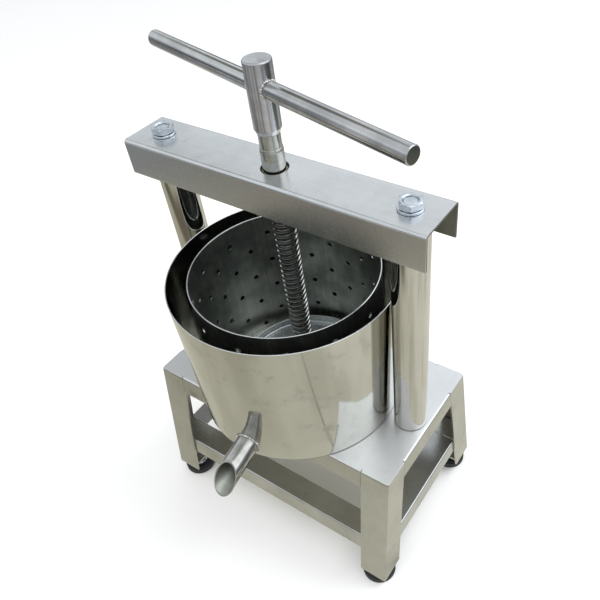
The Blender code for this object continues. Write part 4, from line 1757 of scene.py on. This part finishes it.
@dataclass
class CurdBasket:
    """The perforated basket inside the drum."""

    wall: float = 1.5
    radius: float = 122.6
    columns: int = 26
    rows: int = 4
    hole: float = 3.7
    pitch: float = 47.4
    first: float = 28.5
    yaw: float = radians(-1.4)

    def build(self) -> None:
        """Build and dress the basket."""
        axis = middle("basket_floor")
        rim, foot = top_of("basket_wall"), bottom_of("basket_wall")
        facets = self.columns * 8
        wall = turned("basket_shell", [
            (self.radius - self.wall, rim, 0.5), (self.radius, rim, 0.6),
            (self.radius, foot, 0.3), (self.radius - self.wall, foot, 0.3)], axis, facets,
            ring=True)
        drills = []
        model = drill(self.hole, -5, 5, ORIGIN, 20)
        half_facet = pi / (2 * self.columns)
        for column in range(self.columns):
            angle = self.yaw + 2 * pi * column / self.columns + half_facet
            drop = self.first + (self.pitch / 2 if column % 2 else 0)
            for row in range(self.rows):
                height = (rim - drop - row * self.pitch) * MM
                place = (upright(axis, height) @ Matrix.Rotation(angle, 4, "Z")
                         @ Matrix.Translation((self.radius * MM, 0, 0))
                         @ Matrix.Rotation(pi / 2, 4, "Y"))
                drills.append(copied(model, "drill", place))
        bpy.data.objects.remove(model)
        cut(wall, joined("drills", drills))
        finish = BASKET_SHEET.made((axis.x, axis.y, 0))
        settle(wall, finish, "root", "basket_sheet", "basket_wall")
        edge = (rim - 0.7) * MM
        # Painted highlight: the rim's top faces take a near-white finish.
        face(wall, RIM_HIGHLIGHT_STEEL.made(), lambda side: centre_of(side).z > edge)
        redress("basket_floor", finish)


@dataclass
class PressPlate:
    """The dished press plate with its hub."""

    sheet: float = 2.5
    corner: float = 4.5
    hub_radius: float = 23.0
    bore: float = 9.3
    grub_hole: float = 3.2

    def build(self) -> None:
        """Build and dress the plate."""
        axis = middle("press_plate")
        radius = radius_of("press_plate")
        bottom, rim = bottom_of("press_plate"), top_of("press_plate")
        floor = bottom + self.sheet
        plate = turned("plate_dish", [
            (0, floor, 0), (radius - self.sheet, floor, self.corner - self.sheet),
            (radius - self.sheet, rim, 0.9), (radius, rim, 0.9),
            (radius, bottom, self.corner), (0, bottom, 0)], axis, 128)
        settle(plate, PLATE_SHEET.made(tuple(axis)), "press_plate", "plate_sheet", "press_plate")
        hub_low, hub_high = bottom_of("plate_hub"), top_of("plate_hub")
        seat = top_of("thrust_pad") - 3.0
        hub = turned("hub_boss", [
            (0, seat, 0), (self.bore, seat, 0), (self.bore, hub_high, 0.8),
            (self.hub_radius, hub_high, 1.6), (self.hub_radius, hub_low, 0.4),
            (0, hub_low, 0)], axis, 72)
        grub_z = middle("retaining_screw_right").z
        lie = upright(axis, grub_z) @ Matrix.Rotation(pi / 2, 4, "Y")
        cut(hub, put(drill(self.grub_hole, -24, 24, ORIGIN, 24), lie))
        soften(hub)
        settle(hub, TURNED_STEEL.made(tuple(axis)), "press_plate", "turned_steel", "plate_hub")
        redress("thrust_pad", Bronze().made())
        for side, _ in SIDES:
            redress(f"retaining_screw_{side}", Zinc().made())


# ---------------------------------------------------------------- studio


@dataclass
class Studio:
    """A pale floor, soft lights and the camera."""

    camera_place: Triple = (0.43373, -0.42373, 0.94807)
    camera_turn: Triple = (45.296, 3.909, 33.163)
    lens: float = 38.284
    shift_x: float = -0.07992
    shift_y: float = 0.04108

    def build(self) -> None:
        """Set up the camera, floors, sky and lamps."""
        self.camera()
        self.floor()
        self.workshop_floor()
        self.sky()
        self.lamps()

    def camera(self) -> None:
        """The camera, looking down on the press from the front right."""
        data = bpy.data.cameras.new("camera")
        data.lens = self.lens
        data.sensor_width = 36.0
        data.shift_x = self.shift_x
        data.shift_y = self.shift_y
        data.clip_start = 0.01
        data.clip_end = 100.0
        camera = bpy.data.objects.new("camera", data)
        camera.location = self.camera_place
        camera.rotation_euler = tuple(radians(angle) for angle in self.camera_turn)
        bpy.context.scene.collection.objects.link(camera)
        bpy.context.scene.camera = camera
        bpy.context.scene.view_settings.view_transform = "Standard"

    @staticmethod
    def sheet(name: str, side: float, height: float) -> Piece:
        """A flat square floor that isn't part of the press.

        Args:
            name: the floor's name.
            side: how long its sides are, in metres.
            height: how high it lies, in metres.

        Returns:
            The floor.
        """
        card = started("plane", name, size=1)
        put(card, Matrix.Translation((0, 0, height)) @ Matrix.Diagonal((side, side, 1, 1)))
        return card

    def floor(self) -> None:
        """The pale floor, with a painted shadow under the press."""
        floor = self.sheet("floor", 40, 0)
        board = Board("pale_floor")
        cloud = board.noise(board.place, 3.0, 3.0)
        colour = board.blend(cloud * 0.5, (0.93, 0.93, 0.925), (0.90, 0.90, 0.895))
        across, deep, _ = board.split(board.place)
        # Painted shadow: the floor is darkened to a warm grey under the press.
        under = ((1.0 - abs(across).ramp(0.10, 0.21))
                 * (1.0 - abs(deep - middle("table_top").y).ramp(0.05, 0.15)))
        colour = board.blend(under * 0.9, colour, (0.50, 0.49, 0.42))
        dress(floor, board.settle(Base_Color=colour, Roughness=0.9))
        floor.visible_glossy = False

    @staticmethod
    def glowing(card: Piece, board: Board, colour: Wire) -> None:
        """Make a card glow, seen by nothing but the steel's gloss.

        Args:
            card: the card.
            board: its material's nodes.
            colour: what it glows with.
        """
        dress(card, board.settle(Base_Color=(0, 0, 0), Roughness=1.0, Emission_Color=colour,
                                 Emission_Strength=1.0, Specular_IOR_Level=0.0))
        for ray in ("camera", "diffuse", "shadow", "transmission"):
            setattr(card, f"visible_{ray}", False)

    def workshop_floor(self) -> None:
        """The warm floor that upright steel mirrors: light near by, dark and streaky far off."""
        card = self.sheet("workshop_floor", 13, -0.002)
        board = Board("workshop_floor")
        across, deep, _ = board.split(board.place)
        reach = board.add("ShaderNodeVectorMath", {"operation": "LENGTH"}, {0: board.place}, 1)
        side = (across * 0.8 + deep * 0.5).ramp(-0.9, 0.9)
        warm = board.blend(side, (0.58, 0.56, 0.45), (1.0, 1.0, 0.89))
        patch = board.noise(board.stretched(board.place, (1, 1, 1), 4.4), 4.5, 2.0)
        warm = board.blend(patch.ramp(0.40, 0.66) * 0.35, warm, (0.42, 0.40, 0.31))
        joint = 1.0 - abs(board.along(board.place, (0.877, 0.48, 0)) - 0.166).ramp(0.001, 0.004)
        warm = board.blend(joint * 0.8, warm, (0.10, 0.09, 0.07))
        left = (0.0 - across).ramp(0.55, 1.15)
        dark = board.blend(left, (0.205, 0.185, 0.142), (0.11, 0.128, 0.145))
        where = ((0.0 - deep).ramp(0.47, 0.60) * (1.0 - (0.0 - deep).ramp(0.74, 0.90))
                 * (0.0 - across).ramp(-0.25, 0.0))
        band = board.noise(board.direction(board.place), 3.2, 2.0).ramp(0.42, 0.58)
        streaks = board.blend(band, (0.20, 0.195, 0.20), (0.72, 0.72, 0.73))
        right = board.along(board.direction(board.place), (0.88, 0.47, 0)).ramp(0.90, 0.96)
        streaks = board.blend(right, streaks, (0.085, 0.10, 0.085))
        colour = board.blend(reach.ramp(1.0, 1.25), warm, streaks)
        self.glowing(card, board, board.blend(where, colour, dark))

    def sky(self) -> None:
        """An even sky, and the dome of a bright room that the gloss sees."""
        world = bpy.data.worlds.new("studio")
        bpy.context.scene.world = world
        world.use_nodes = True
        ground = world.node_tree.nodes["Background"].inputs
        ground["Color"].default_value = (0.97, 0.985, 1.0, 1)
        ground["Strength"].default_value = 0.95
        dome = started("uv_sphere", "dome", segments=48, ring_count=24, radius=6)
        board = Board("dome")
        way = board.direction(board.place)
        _, _, rise = board.split(way)
        height = board.add("ShaderNodeValToRGB", {"stops": (
            (0.0, (0.50, 0.51, 0.52)), (0.33, (0.66, 0.70, 0.77)), (0.43, (1.05, 1.13, 1.17)),
            (0.62, (0.88, 0.92, 0.95)), (1.0, (0.95, 1.0, 1.05)))}, {0: rise})
        band = board.noise(board.add("ShaderNodeVectorMath", {"operation": "MULTIPLY"},
                                     {0: way, 1: (1, 1, 0.15)}), 3.0, 2.0).ramp(0.38, 0.60)
        low = board.blend(band, (0.16, 0.16, 0.155), (1.0, 1.0, 1.0))
        colour = board.blend(1.0 - rise.ramp(0.15, 0.36), height,
                             board.blend(1.0, height, low, "MULTIPLY"))
        window = board.along(way, (0.478, 0.318, 0.819)).ramp(0.80, 0.90)
        colour = board.blend(window, colour, (2.1, 2.2, 2.3))
        corner = board.along(way, (-0.61, 0.35, 0.71)).ramp(0.968, 0.988)
        self.glowing(dome, board, board.blend(corner, colour, (0.22, 0.21, 0.18)))

    @staticmethod
    def lamps() -> None:
        """One broad lamp behind on the right, and a softer one in front."""
        for name, place, size, power, colour in (
                ("high_lamp", (0.9, 0.8, 2.0), 1.2, 26.0, (0.96, 0.98, 1.0)),
                ("front_lamp", (-0.6, -1.5, 1.7), 1.4, 16.0, (1.0, 0.98, 0.94))):
            data = bpy.data.lights.new(name, "AREA")
            data.size = size
            data.energy = power
            data.color = colour
            lamp = bpy.data.objects.new(name, data)
            lamp.location = place
            aim = Vector((0, 0, 0.35)) - Vector(place)
            lamp.rotation_euler = aim.to_track_quat("-Z", "Y").to_euler()
            lamp.visible_glossy = False
            bpy.context.scene.collection.objects.link(lamp)


def main() -> None:
    """Build the press piece by piece, then the studio round it."""
    logging.basicConfig(level=logging.INFO, format="%(message)s")
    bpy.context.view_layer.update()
    chance = random.Random(11)
    Base().build(chance)
    Feet().build()
    Posts().build()
    CrossBeam().build(chance)
    PressScrew().build(chance)
    WheyDrum().build(chance)
    CurdBasket().build()
    PressPlate().build()
    Studio().build()
    bpy.ops.object.select_all(action="DESELECT")


if __name__ == "__main__":
    main()
